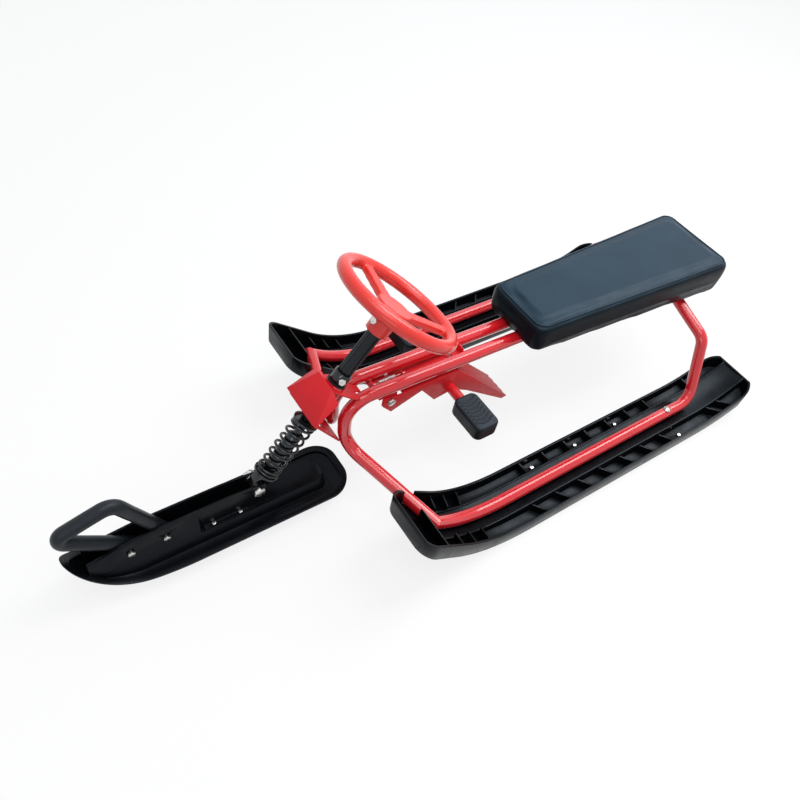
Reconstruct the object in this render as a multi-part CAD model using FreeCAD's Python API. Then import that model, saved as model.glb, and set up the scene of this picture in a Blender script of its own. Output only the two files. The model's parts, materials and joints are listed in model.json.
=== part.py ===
"""Steering sled: twin rear skis on a bent tube frame, a sprung front ski, a wheel, a seat and a claw brake.

Frame: +X forward, +Y to the rider's left, +Z up, origin on the ground under the middle. Millimetres.
"""
import FreeCAD, Part
import math
import os

V = FreeCAD.Vector

# Fits
FIT = 0.05
RUN = 0.10
SEAT_GAP = 0.2
WELD_GAP = 0.3

# Frame tube
TUBE_D = 22.0
TUBE_WALL = 1.5
TRACK_HALF = 200.0
TOP_HALF = 19.0
TOP_FRONT_X = 228.0
TOP_FRONT_Z = 225.0
TOP_SLOPE = 0.028
TOP_REAR_X = -505.0
FRONT_BEND_R = 42.0
REAR_BEND_R = 38.0
KNEE_R = 30.0
FRONT_KNEE = (222.0, 125.0)
REAR_KNEE = (-500.0, 150.0, 165.0)
TUBE_SPLIT = 8.0

# Ski rail
RAIL_Z = 38.0
RAIL_ARC_X = 5.0
RAIL_ARC_R = 250.0
RAIL_FRONT_X = 158.0
RAIL_REAR_X = -487.0

# Rear ski
SKI_W = 112.0
SKI_H = 29.0
SKI_WALL = 4.0
SKI_FLOOR = 4.0
SKI_FLAT_FRONT = -30.0
SKI_FLAT_REAR = -470.0
SKI_NOSE_R = 290.0
SKI_NOSE_DEG = 38.0
SKI_NOSE_RUN = 98.0
SKI_NOSE_LEAN = 16.0
SKI_TAIL_R = 300.0
SKI_TAIL_DEG = 32.0
SKI_TAIL_TRIM = 10.0
SKI_NOSE_CORNER_R = 28.0
SKI_TAIL_CORNER_R = 34.0
SPINE_W = 54.0
SPINE_SKIN = 5.0
BEAD_W = 3.0
BEAD_H = 3.5
RIB_T = 2.6
RIB_DROP = 7.0
RIB_PITCH = 55.0
RIB_COUNT = 7
INNER_RIB_X = -83.0
OUTER_RIB_X = -58.0
OUTER_RIB_TURN = 38.0
NOSE_RIB_X = 72.0
NOSE_RIB_PITCH = 31.0
NOSE_RIB_COUNT = 3
TAIL_RIB_X = -530.0
BULKHEAD_X = 178.0

# Seat
SEAT_REAR_X = -588.0
SEAT_FRONT_X = -110.0
SEAT_TOP_Z = 273.0
SEAT_REAR_HALF = 88.0
SEAT_FRONT_HALF = 67.0
SEAT_CORNER_R = 20.0
SEAT_DRAW_IN = 2.5
SEAT_SKIRT = 6.5
SEAT_EDGE_R = 5.0
BOARD_T = 8.0
BOARD_INSET = 12.0
SEAT_BOLT_X = (-420.0, -200.0)
SEAT_BOLT_D = 6.0

# Steering axis
AXIS_X = 352.8
AXIS_Z = 99.1
RAKE_DEG = 36.0
SHAFT_D = 20.0
ROD_D = 14.0
HEAD_TUBE_D = 32.0
HEAD_TUBE_LOW = 142.0
HEAD_TUBE_HIGH = 198.0
BUSH_D = 26.0
BUSH_FLANGE = 3.0
BUSH_LEN = 15.0
COLLAR_D = 28.0
COLLAR_LEN = 18.0
SLEEVE_D = 21.6
SLEEVE_LEN = 78.0
SLEEVE_RIBS = 12
SLEEVE_RIB_H = 0.9
SLEEVE_LIP_D = 27.0
BOSS_D = 36.0
BOSS_LEN = 36.0
CROSS_BOLT_D = 6.0

# Steering wheel
WHEEL_R = 92.5
RIM_D = 21.0
HUB_D = 58.0
HUB_T = 12.0
SPOKE_ANGLES = (30.0, 150.0, 270.0)
SPOKE_W = 22.0
SPOKE_T = 11.0
RIM_RISE = 12.0

# Head plates
SHEET = 2.5
SHIELD_LOW_N = 30.5
SHIELD_TOP_N = 23.3
SHIELD_LOW_HALF = 43.5
SHIELD_TOP_HALF = 19.6
WING_BACK = 9.0
WING_IN = 5.5
WING_DROP = 11.0
CROWN_BACK = 40.0
CROWN_HALF = 27.0
TONGUE_BACK = 57.0
GUSSET_FRONT_IN = 9.0
GUSSET_BACK_HALF = 26.0
GUSSET_Z = 145.0

# Spring strut
SPRING_R = 17.6
SPRING_WIRE = 4.4
SPRING_LOW = 8.0
SPRING_HIGH = 116.0
SPRING_ACTIVE = 6
SPRING_END_PITCH = 5.0
SPRING_SEAT_D = 42.0
SPRING_SEAT_T = 3.5
STEM_D = 23.0
STRUT_TRAVEL = 25.0
STEM_HIGH = 88.0
LUG_HALF_Y = 8.5
LUG_HALF_N = 15.0
SKI_PIVOT_S = -22.0
SKI_PIVOT_N = 5.0
PIVOT_D = 10.0

# Front ski
FSKI_W = 109.0
FSKI_REAR_X = 211.0
FSKI_REAR_R = 40.0
FSKI_TAIL_X = 262.0
FSKI_TAIL_R = 186.0
FSKI_TIP_X = 662.5
FSKI_NOSE_RUN = 180.0
FSKI_RIM_Z = 34.0
FSKI_FLAT_X = 552.0
FSKI_NOSE_R = 122.0
FSKI_FLOOR_Z = 28.0
FSKI_SKIN = 4.0
FSKI_WALL = 4.5
RIM_W = 11.0
FLANGE_T = 4.0
KEEL_HALF = 31.0
KEEL_DRAFT = 0.5
KEEL_RUN = 150.0
KEEL_RUN_DRAFT = 0.26
KEEL_FLAT_X = 520.0
KEEL_NOSE_R = 157.0
POCKET_FRONT_X = 545.0
HUMP_REAR_X = 246.0
HUMP_REAR_R = 16.0
HUMP_BASE_HALF = 28.0
HUMP_TOP_HALF = 22.0
HUMP_Z = 50.0
TUNNEL_HALF = 14.0
TUNNEL_SKIN = 6.0
WALL_REAR_X = 470.0
WALL_FRONT_X = 634.0
WALL_TOP_Z = 100.5
WALL_NOSE_Z = 85.0
CHEEK_T = 3.0
CHEEK_IN = 11.4
CHEEK_FOOT_X = (388.0, 462.0)
CHEEK_SCREW_X = (403.0, 447.0)
CHEEK_SCREW_Y = 18.0

# Front loop
LOOP_D = 22.0
LOOP_REAR_FOOT_X = 513.6
LOOP_FRONT_FOOT_X = 558.0
LOOP_FOOT_Z = 62.0
LOOP_TOP = (578.0, 186.0)
LOOP_APEX = (666.0, 157.5)
LOOP_TOP_R = 20.0
LOOP_APEX_R = 13.0
LOOP_BOLT_D = 6.0
LOOP_BOLT_RISE = 14.0

# Brake
BRAKE_X = 150.0
BRAKE_Z = 201.0
BRAKE_PIN_D = 8.0
EAR_Y = 26.4
EAR_GAP = 0.4
PLATE_Z = 205.5
PLATE_FRONT_X = 126.0
CLAW_X = 14.0
CLAW_TIP_X = -136.0
CLAW_TIP_Z = 59.5
CLAW_SHARE = 0.35
CLAW_FLANGE = 26.0
CLAW_LIP = 10.0
CLAW_TEETH = 4
CLAW_TOOTH = 7.0
BAR_X = 27.0
BAR_Z = 172.0
BAR_D = 18.0
BAR_HALF = 128.0
PEDAL_IN = 64.0
PEDAL_LEN = 74.0
PEDAL_W = 46.0
PEDAL_T = 30.0
PEDAL_RIBS = 7
PULL_R = 3.3
PULL_WIRE = 1.4
PULL_TURNS = 16
PULL_PITCH = 1.95
PULL_FRONT_X = 169.0
PULL_REAR_X = 113.0
PULL_TAIL = 5.0
PULL_EYE_D = 4.0
PULL_Z = 217.0

OUT = "parts"
os.makedirs(OUT, exist_ok=True)


def loop_reach():
    """Foremost point of the front loop: the outer side of its apex bend."""
    into = math.atan2(LOOP_APEX[1] - LOOP_TOP[1], LOOP_APEX[0] - LOOP_TOP[0])
    out = math.atan2(LOOP_APEX[1] - LOOP_FOOT_Z, LOOP_APEX[0] - LOOP_FRONT_FOOT_X)
    half = (math.pi - out + into) / 2
    middle = (into + out) / 2 + math.pi
    return LOOP_APEX[0] + LOOP_APEX_R / math.cos(half) * math.cos(middle) + LOOP_APEX_R + LOOP_D / 2


# Middle of the length, from the rear ski's tail to the foremost of ski tip and loop
TAIL_X = SKI_FLAT_REAR - SKI_TAIL_R * math.sin(math.radians(SKI_TAIL_DEG)) + SKI_TAIL_TRIM
NOSE_X = max(FSKI_TIP_X, loop_reach())
MID_X = (TAIL_X + NOSE_X) / 2


def save(name, shape):
    """Write one sub-part, moved so that the origin lies under the middle."""
    shape = shape.removeSplitter() if len(shape.Solids) == 1 else shape
    shape.translate(V(-MID_X, 0, 0))
    shape.exportStep(os.path.join(OUT, name + ".step"))
    print(name, len(shape.Solids), round(shape.Volume), shape.isValid())


def unit(a):
    return V(a).normalize()


def cyl(start, end, radius):
    """Round bar between two points."""
    axis = end - start
    return Part.makeCylinder(radius, axis.Length, start, axis)


def ring(start, end, outer, inner):
    axis = unit(end - start)
    return cyl(start, end, outer).cut(cyl(start - axis, end + axis, inner))


def polygon(points):
    return Part.makePolygon([V(*p) for p in points] + [V(*points[0])])


def prism(points, move):
    """Flat polygon pushed along a vector."""
    return Part.Face(polygon(points)).extrude(V(*move))


def side_prism(outline, y_low, y_high):
    """Outline in X and Z, pushed across Y."""
    return prism([(x, y_low, z) for x, z in outline], (0, y_high - y_low, 0))


def plan_prism(outline, z_low, z_high):
    return prism([(x, y, z_low) for x, y in outline], (0, 0, z_high - z_low))


def box(x0, x1, y0, y1, z0, z1):
    return Part.makeBox(x1 - x0, y1 - y0, z1 - z0, V(x0, y0, z0))


def mirrored(shape):
    return shape.mirror(V(0, 0, 0), V(0, 1, 0))


def fuse(first, *others):
    for other in others:
        first = first.fuse(other)
    return first.removeSplitter()


def hex_head(at, axis, flats, height):
    """Hexagon prism standing on a point."""
    axis = unit(axis)
    side = axis.cross(V(0.31, 0.57, 0.76)).normalize()
    other = axis.cross(side)
    radius = flats / math.sqrt(3)
    points = []
    for corner in range(6):
        turn = math.radians(60 * corner)
        points.append(at + side * (radius * math.cos(turn)) + other * (radius * math.sin(turn)))
    return Part.Face(Part.makePolygon(points + [points[0]])).extrude(axis * height)


def bolt(head_at, axis, length, d, flats, head):
    """Hexagon bolt whose head stands on head_at, shank along axis."""
    axis = unit(axis)
    shank = cyl(head_at, head_at + axis * length, d / 2)
    return fuse(hex_head(head_at, axis * -1, flats, head), shank)


def nut(at, axis, d, flats, height):
    axis = unit(axis)
    return hex_head(at, axis, flats, height).cut(cyl(at - axis, at + axis * (height + 1), d / 2 + FIT))


def bent_path(points, radii):
    """Straight runs joined by tangent arcs; radii belong to the inner points."""
    points = [V(*p) for p in points]
    edges = []
    last = points[0]
    for here, ahead, behind, radius in zip(points[1:-1], points[2:], points[:-2], radii):
        into = unit(here - behind)
        out = unit(ahead - here)
        turn = math.acos(max(-1.0, min(1.0, into.dot(out))))
        reach = radius * math.tan(turn / 2)
        start = here - into * reach
        end = here + out * reach
        bulge = unit(out - into)
        middle = here + bulge * (radius / math.cos(turn / 2) - radius)
        if (start - last).Length > 1e-6:
            edges.append(Part.LineSegment(last, start).toShape())
        edges.append(Part.Arc(start, middle, end).toShape())
        last = end
    edges.append(Part.LineSegment(last, points[-1]).toShape())
    return Part.Wire(edges)


def swept(path, radius):
    """Round bar along a path."""
    start = path.Edges[0].valueAt(path.Edges[0].FirstParameter)
    along = path.Edges[0].tangentAt(path.Edges[0].FirstParameter)
    section = Part.Wire([Part.Circle(start, along, radius).toShape()])
    return path.makePipeShell([section], True, False)


def tube(path):
    return swept(path, TUBE_D / 2).cut(swept(path, TUBE_D / 2 - TUBE_WALL))


def keep_side(shape, at, normal, size=400.0):
    """Part of a shape on the far side of a plane from its normal."""
    cutter = Part.makeBox(size, size, size, V(-size / 2, -size / 2, 0))
    cutter.Placement = FreeCAD.Placement(at, FreeCAD.Rotation(V(0, 0, 1), normal))
    return shape.cut(cutter)


# Axis of the steering head: local X forward, local Z up the column
HEAD = FreeCAD.Placement(V(AXIS_X, 0, AXIS_Z), FreeCAD.Rotation(V(0, 1, 0), -RAKE_DEG))


def on_head(shape):
    shape = shape.copy()
    shape.Placement = HEAD.multiply(shape.Placement)
    return shape


def top_z(x):
    """Height of the top tube's centre line."""
    return TOP_FRONT_Z + (x - TOP_FRONT_X) * TOP_SLOPE


def rail_z(x):
    if x <= RAIL_ARC_X:
        return RAIL_Z
    return RAIL_Z + RAIL_ARC_R - math.sqrt(RAIL_ARC_R ** 2 - (x - RAIL_ARC_X) ** 2)


# Corner points of the left tube loop
TOP_DIR = unit(V(1, 0, TOP_SLOPE))
FRONT_TOP = V(TOP_FRONT_X, TOP_HALF, TOP_FRONT_Z)
REAR_TOP = V(TOP_REAR_X, TOP_HALF, top_z(TOP_REAR_X))
FRONT_LOW = V(FRONT_KNEE[0], TOP_HALF, FRONT_KNEE[1])
REAR_LOW = V(*REAR_KNEE)
RAIL_FRONT = V(RAIL_FRONT_X, TRACK_HALF, rail_z(RAIL_FRONT_X))
RAIL_REAR = V(RAIL_REAR_X, TRACK_HALF, RAIL_Z)
RAIL_BACKWARD = V(-math.sqrt(RAIL_ARC_R ** 2 - (RAIL_FRONT_X - RAIL_ARC_X) ** 2), 0,
                  RAIL_ARC_X - RAIL_FRONT_X).normalize()
LEG_DOWN = unit(RAIL_FRONT - FRONT_LOW)
MITRE = unit(LEG_DOWN + RAIL_BACKWARD)
SPLIT_FRONT = FRONT_TOP - TOP_DIR * (FRONT_BEND_R + TUBE_SPLIT)
SPLIT_REAR = REAR_TOP + TOP_DIR * (REAR_BEND_R + TUBE_SPLIT)
SPLIT_RAIL = RAIL_REAR + V(REAR_BEND_R + TUBE_SPLIT, 0, 0)


def front_leg():
    past = RAIL_FRONT + LEG_DOWN * TUBE_D
    path = bent_path([SPLIT_FRONT, FRONT_TOP, FRONT_LOW, past], [FRONT_BEND_R, FRONT_BEND_R])
    return keep_side(tube(path), RAIL_FRONT, MITRE)


def rear_leg():
    path = bent_path([SPLIT_RAIL, RAIL_REAR, REAR_LOW, REAR_TOP, SPLIT_REAR],
                     [REAR_BEND_R * 0.9, KNEE_R, REAR_BEND_R])
    return tube(path)


def top_tube():
    shape = tube(Part.Wire([Part.LineSegment(SPLIT_REAR, SPLIT_FRONT).toShape()]))
    for x in SEAT_BOLT_X:
        hole = cyl(V(x, TOP_HALF, 0), V(x, TOP_HALF, 2 * TOP_FRONT_Z), SEAT_BOLT_D / 2 + FIT)
        shape = shape.cut(hole)
    return shape


RAIL_BOLT_X = -415.0
RAIL_SCREW_X = -80.0
RAIL_BOLT_D = 8.0


def ski_rail():
    past = RAIL_FRONT - RAIL_BACKWARD * TUBE_D
    start = V(RAIL_ARC_X, TRACK_HALF, RAIL_Z)
    half = math.asin((RAIL_FRONT_X - RAIL_ARC_X) / RAIL_ARC_R) / 2
    middle = V(RAIL_ARC_X + RAIL_ARC_R * math.sin(half), TRACK_HALF,
               RAIL_Z + RAIL_ARC_R * (1 - math.cos(half)))
    path = Part.Wire([
        Part.LineSegment(SPLIT_RAIL, start).toShape(),
        Part.Arc(start, middle, RAIL_FRONT).toShape(),
        Part.LineSegment(RAIL_FRONT, past).toShape(),
    ])
    shape = keep_side(tube(path), RAIL_FRONT, MITRE * -1)
    through = cyl(V(RAIL_BOLT_X, TRACK_HALF, 0), V(RAIL_BOLT_X, TRACK_HALF, 2 * RAIL_Z),
                  RAIL_BOLT_D / 2 + FIT)
    blind = cyl(V(RAIL_SCREW_X, TRACK_HALF, 0), V(RAIL_SCREW_X, TRACK_HALF, RAIL_Z),
                RAIL_BOLT_D / 2 + FIT)
    return shape.cut(through).cut(blind)


def ski_curve(lift, back=0.0):
    """Running line of the rear ski raised square to itself: tail end to nose tip."""
    tail = math.radians(SKI_TAIL_DEG)
    nose = math.radians(SKI_NOSE_DEG)
    tail_r = SKI_TAIL_R - lift
    nose_r = SKI_NOSE_R - lift

    def on_tail(a):
        return V(SKI_FLAT_REAR - tail_r * math.sin(a), 0, lift + tail_r * (1 - math.cos(a)))

    def on_nose(a):
        return V(SKI_FLAT_FRONT + nose_r * math.sin(a), 0, lift + nose_r * (1 - math.cos(a)))

    run = SKI_NOSE_RUN + SKI_NOSE_LEAN * lift / SKI_H - back
    tip = on_nose(nose) + V(math.cos(nose), 0, math.sin(nose)) * run
    tail_end = tail - back / SKI_TAIL_R
    return [
        Part.Arc(on_tail(tail_end), on_tail(tail_end / 2), on_tail(0)).toShape(),
        Part.LineSegment(on_tail(0), on_nose(0)).toShape(),
        Part.Arc(on_nose(0), on_nose(nose / 2), on_nose(nose)).toShape(),
        Part.LineSegment(on_nose(nose), tip).toShape(),
    ]


def ski_band(low, high, half, back=0.0, y_low=None):
    """Solid between two raised running lines, across the ski."""
    bottom = ski_curve(low, back)
    top = ski_curve(high, back)
    tail = Part.LineSegment(top[0].valueAt(top[0].FirstParameter),
                            bottom[0].valueAt(bottom[0].FirstParameter)).toShape()
    tip = Part.LineSegment(bottom[-1].valueAt(bottom[-1].LastParameter),
                           top[-1].valueAt(top[-1].LastParameter)).toShape()
    outline = Part.Wire(bottom + [tip] + top[::-1] + [tail])
    y_low = -half if y_low is None else y_low
    face = Part.Face(outline)
    face.translate(V(0, y_low, 0))
    return face.extrude(V(0, half - y_low, 0))


def plan_rounding(x_rear, x_front, half, inset, z_high):
    """Block whose upright edges are rounded in plan, the tail's more than the nose's."""
    block = box(x_rear + inset, x_front - inset, -half + inset, half - inset, -1, z_high)
    upright = [e for e in block.Edges if abs(e.Vertexes[0].Z - e.Vertexes[1].Z) > 1]
    middle = (x_rear + x_front) / 2
    block = block.makeFillet(SKI_TAIL_CORNER_R - inset, [e for e in upright if e.CenterOfMass.x < middle])
    upright = [e for e in block.Edges if abs(e.CenterOfMass.x - x_front + inset) < 0.01
               and abs(e.Vertexes[0].Z - e.Vertexes[-1].Z) > 1]
    return block.makeFillet(SKI_NOSE_CORNER_R - inset, upright)


def spine_profile(lift):
    """Top line of the spine under the rail: rail curve lowered, then the tail curve."""
    tail = math.radians(SKI_TAIL_DEG)
    tail_r = SKI_TAIL_R - lift

    def on_tail(a):
        return V(SKI_FLAT_REAR - tail_r * math.sin(a), 0, lift + tail_r * (1 - math.cos(a)))

    arc_r = RAIL_ARC_R + RAIL_Z - lift
    reach = math.asin((RAIL_FRONT_X - RAIL_ARC_X) / arc_r)

    def on_rail(a):
        return V(RAIL_ARC_X + arc_r * math.sin(a), 0, lift + arc_r * (1 - math.cos(a)))

    return [
        Part.Arc(on_tail(tail * 0.97), on_tail(tail * 0.48), on_tail(0)).toShape(),
        Part.LineSegment(on_tail(0), on_rail(0)).toShape(),
        Part.Arc(on_rail(0), on_rail(reach / 2), on_rail(reach)).toShape(),
    ]


def spine_block(lift, y_low, y_high):
    top = spine_profile(lift)
    first = top[0].valueAt(top[0].FirstParameter)
    last = top[-1].valueAt(top[-1].LastParameter)
    low_first = V(first.x, 0, -1)
    low_last = V(last.x, 0, -1)
    outline = Part.Wire(top + [
        Part.LineSegment(last, low_last).toShape(),
        Part.LineSegment(low_last, low_first).toShape(),
        Part.LineSegment(low_first, first).toShape(),
    ])
    face = Part.Face(outline)
    face.translate(V(0, y_low, 0))
    return face.extrude(V(0, y_high - y_low, 0))


SPINE_TOP = RAIL_Z - TUBE_D / 2 - SEAT_GAP
SCREW_X = (INNER_RIB_X - RIB_PITCH / 2, INNER_RIB_X - 2.5 * RIB_PITCH, INNER_RIB_X - 4.5 * RIB_PITCH,
           TAIL_RIB_X - RIB_PITCH)
NOTCH_GAP = 1.0
SCREW_D = 4.0
SCREW_HEAD_D = 8.0
SCREW_HEAD = 2.5


def ski_screw_places():
    """Centres of the small screws on the left ski: plan position and side."""
    inner = TRACK_HALF - (SPINE_W + SKI_W) / 4
    outer = TRACK_HALF + (SPINE_W + SKI_W) / 4
    places = [(x, inner) for x in SCREW_X[:3]]
    places.append((RAIL_BOLT_X - RIB_PITCH / 3, outer))
    return places


def ribs(band):
    """Cross ribs of both rows of cells, cut to the ski's own band."""
    half = SKI_W / 2 - SKI_WALL / 2
    inner = SPINE_W / 2 - 1
    shapes = []

    def rib(x, side, turn):
        width = half - inner
        plate = box(-RIB_T / 2, RIB_T / 2, -width, width, 0, 3 * SKI_H + 80)
        plate.rotate(V(0, 0, 0), V(0, 0, 1), turn)
        plate.translate(V(x, side * (inner + half) / 2, -1))
        lane = box(x - 40, x + 40, min(side * inner, side * half), max(side * inner, side * half), -2, 400)
        return plate.common(lane)

    for index in range(RIB_COUNT):
        shapes.append(rib(INNER_RIB_X - index * RIB_PITCH, -1, 0))
        shapes.append(rib(OUTER_RIB_X - index * RIB_PITCH, 1, OUTER_RIB_TURN))
    for index in range(NOSE_RIB_COUNT):
        shapes.append(rib(NOSE_RIB_X + index * NOSE_RIB_PITCH, -1, -OUTER_RIB_TURN / 2))
        shapes.append(rib(NOSE_RIB_X + index * NOSE_RIB_PITCH, 1, 0))
    shapes.append(rib(TAIL_RIB_X, -1, 0))
    for index in range(2):
        shapes.append(rib(TAIL_RIB_X - index * RIB_PITCH / 2, 1, OUTER_RIB_TURN))
    return [shape.common(band) for shape in shapes]


def leg_notch():
    """Room for the front leg where it comes over the ski's inner wall, open upwards."""
    half = TUBE_D / 2 + NOTCH_GAP
    side = unit(V(-LEG_DOWN.y, LEG_DOWN.x, 0)) * half
    start = RAIL_FRONT + LEG_DOWN * 2
    corners = [start - side, start + side, FRONT_LOW + side, FRONT_LOW - side]
    upward = Part.Face(Part.makePolygon(corners + [corners[0]])).extrude(V(0, 0, 2 * SKI_H))
    return upward.fuse(cyl(start, FRONT_LOW, half))


def rear_ski():
    """Left ski: a tray with a spine under the rail, ribbed cells, raised nose and tail."""
    half = SKI_W / 2
    body = ski_band(0, SKI_H, half)
    limits = body.BoundBox
    tail_end = limits.XMin + SKI_TAIL_TRIM
    plan = plan_rounding(tail_end, limits.XMax, half, 0.0, limits.ZMax + 1)
    body = body.common(plan)
    hollow = ski_band(SKI_FLOOR, SKI_H + 30, half - SKI_WALL, SKI_WALL)
    inner_plan = plan_rounding(tail_end, limits.XMax, half, SKI_WALL, limits.ZMax + 60)
    shell = body.cut(hollow.common(inner_plan))
    room = ski_band(SKI_FLOOR / 2, SKI_H - SKI_WALL / 4, half - SKI_WALL / 2, SKI_WALL / 2).common(plan)
    spine = spine_block(SPINE_TOP, -SPINE_W / 2, SPINE_W / 2)
    for side in (-1, 1):
        edge = side * (SPINE_W / 2 - BEAD_W / 2)
        spine = spine.fuse(spine_block(SPINE_TOP + BEAD_H, edge - BEAD_W / 2, edge + BEAD_W / 2))
    above = ski_band(SKI_FLOOR / 2, 4 * SKI_H, half, SKI_WALL / 2)
    spine = spine.common(above).common(plan)
    bulkhead = box(BULKHEAD_X - RIB_T, BULKHEAD_X, -half + SKI_WALL / 2, half - SKI_WALL / 2, 0, 400)
    webs = ribs(ski_band(SKI_FLOOR / 2, SKI_H - RIB_DROP, half - SKI_WALL / 2, SKI_WALL / 2))
    whole = fuse(shell, spine, bulkhead.common(room), *webs)
    tunnel_half = SPINE_W / 2 - SPINE_SKIN
    tunnel = box(SKI_FLAT_REAR, SKI_FLAT_FRONT, -tunnel_half, tunnel_half, -1, SPINE_TOP - SPINE_SKIN)
    whole = whole.cut(tunnel)
    whole.translate(V(0, TRACK_HALF, 0))
    for x, d in ((RAIL_BOLT_X, RAIL_BOLT_D), (RAIL_SCREW_X, RAIL_BOLT_D)):
        whole = whole.cut(cyl(V(x, TRACK_HALF, 0), V(x, TRACK_HALF, 2 * RAIL_Z), d / 2 + FIT))
    for x, y in ski_screw_places():
        whole = whole.cut(cyl(V(x, y, 1), V(x, y, 2 * SKI_H), SCREW_D / 2 + FIT))
    return whole.cut(leg_notch())


def ski_screws():
    screws = []
    for x, y in ski_screw_places():
        shank = cyl(V(x, y, 1), V(x, y, SKI_FLOOR), SCREW_D / 2)
        head = cyl(V(x, y, SKI_FLOOR), V(x, y, SKI_FLOOR + SCREW_HEAD), SCREW_HEAD_D / 2)
        screws.append(fuse(shank, head))
    return Part.makeCompound(screws + [mirrored(s) for s in screws])


def rail_bolts():
    """Dome-headed bolts through rail and ski, and screws from under the ski into the rail."""
    under = SPINE_TOP - SPINE_SKIN
    top = RAIL_Z + TUBE_D / 2
    head_d = 2 * RAIL_BOLT_D - 2
    place = V(RAIL_BOLT_X, TRACK_HALF, 0)
    shank = cyl(place + V(0, 0, under - 9), place + V(0, 0, top), RAIL_BOLT_D / 2)
    ball_r = head_d * 0.75
    dome = Part.makeSphere(ball_r, place + V(0, 0, top + 4.5 - ball_r))
    dome = dome.common(cyl(place + V(0, 0, top), place + V(0, 0, top + 9), head_d / 2))
    place = V(RAIL_SCREW_X, TRACK_HALF, 0)
    screw = bolt(place + V(0, 0, under), V(0, 0, 1), RAIL_Z - TUBE_D / 4 - under, RAIL_BOLT_D, 13, 5)
    both = [fuse(shank, dome), screw]
    return Part.makeCompound(both + [mirrored(s) for s in both])


def rail_nuts():
    under = SPINE_TOP - SPINE_SKIN
    one = nut(V(RAIL_BOLT_X, TRACK_HALF, under), V(0, 0, -1), RAIL_BOLT_D, 13, 6.5)
    return Part.makeCompound([one, mirrored(one)])


def seat_bottom(x):
    """Height of the board's underside, resting on the top tubes."""
    slope = math.sqrt(1 + TOP_SLOPE ** 2)
    return top_z(x) + (TUBE_D / 2) * slope + SEAT_GAP


def seat_outline(inset, z_of):
    """Tapered plan outline with round corners, at the height that z_of gives."""
    rear = SEAT_REAR_X + inset
    front = SEAT_FRONT_X - inset
    wide = SEAT_REAR_HALF - inset
    slim = SEAT_FRONT_HALF - inset
    corner_r = SEAT_CORNER_R - inset / 3
    corners = [V(rear, -wide, 0), V(front, -slim, 0), V(front, slim, 0), V(rear, wide, 0)]
    edges = []
    ends = []
    for index in range(4):
        here = corners[index]
        into = unit(here - corners[index - 1])
        out = unit(corners[(index + 1) % 4] - here)
        turn = math.acos(into.dot(out))
        reach = corner_r * math.tan(turn / 2)
        middle = here + unit(out - into) * (corner_r / math.cos(turn / 2) - corner_r)
        ends.append((here - into * reach, middle, here + out * reach))

    def lift(p):
        return V(p.x, p.y, z_of(p.x))

    for index in range(4):
        start, middle, end = (lift(p) for p in ends[index])
        edges.append(Part.Arc(start, middle, end).toShape())
        edges.append(Part.LineSegment(end, lift(ends[(index + 1) % 4][0])).toShape())
    return Part.Wire(edges)


def seat_board():
    wire = seat_outline(BOARD_INSET, seat_bottom)
    board = Part.Face(wire).extrude(V(0, 0, BOARD_T))
    for x in SEAT_BOLT_X:
        for side in (-1, 1):
            board = board.cut(cyl(V(x, side * TOP_HALF, 0), V(x, side * TOP_HALF, SEAT_TOP_Z * 2),
                                  SEAT_BOLT_D / 2 + FIT))
    return board


def seat_cushion():
    """Padded seat: sides drawn in to the board, full waist, rolled top edge and a low crown."""
    shares = ((SEAT_DRAW_IN, 0.0), (SEAT_DRAW_IN / 4, 0.3), (0.0, 0.6), (SEAT_EDGE_R / 6, 0.8),
              (SEAT_EDGE_R * 0.7, 0.94), (SEAT_EDGE_R * 2, 0.98), (SEAT_EDGE_R * 5, 1.0))

    def level(share):
        def height(x):
            foot = seat_bottom(x) - SEAT_SKIRT
            return foot + share * (SEAT_TOP_Z - foot)
        return height

    body = Part.makeLoft([seat_outline(inset, level(share)) for inset, share in shares], True, False)
    pocket = seat_outline(BOARD_INSET - SEAT_GAP, lambda x: seat_bottom(x) - 40)
    recess = Part.Face(pocket).extrude(V(0, 0, 40 + BOARD_T + SEAT_GAP))
    body = body.cut(recess)
    for side in (-1, 1):
        front = V(FRONT_TOP.x, side * TOP_HALF, FRONT_TOP.z)
        rear = V(REAR_TOP.x, side * TOP_HALF, REAR_TOP.z)
        body = body.cut(cyl(rear, front, TUBE_D / 2 + SEAT_GAP))
    return body


def seat_bolts():
    bolts = []
    for x in SEAT_BOLT_X:
        for side in (-1, 1):
            low = top_z(x) - TUBE_D / 2 - WELD_GAP
            bolts.append(bolt(V(x, side * TOP_HALF, low), V(0, 0, 1), TUBE_D + BOARD_T, SEAT_BOLT_D, 10, 4))
    return Part.makeCompound(bolts)


# Stations up the column
COLLAR_LOW = HEAD_TUBE_HIGH + BUSH_FLANGE + WELD_GAP
COLLAR_HIGH = COLLAR_LOW + COLLAR_LEN
SLEEVE_HIGH = COLLAR_HIGH + SLEEVE_LEN
BOSS_LOW = SLEEVE_HIGH + SEAT_GAP
BOSS_HIGH = BOSS_LOW + BOSS_LEN
WHEEL_S = BOSS_HIGH + HUB_T / 2
COLLAR_BOLT_S = COLLAR_LOW + COLLAR_LEN / 2
BOSS_BOLT_S = BOSS_LOW + BOSS_LEN * 0.45
COLLAR_BOLT_AXIS = V(math.cos(math.radians(60)), math.sin(math.radians(60)), 0)
BOSS_BOLT_AXIS = V(1, 0, 0)
UP = V(0, 0, 1)


def cross_hole(shape, s, axis):
    return shape.cut(cyl(UP * s - axis * 60, UP * s + axis * 60, CROSS_BOLT_D / 2 + FIT))


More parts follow.
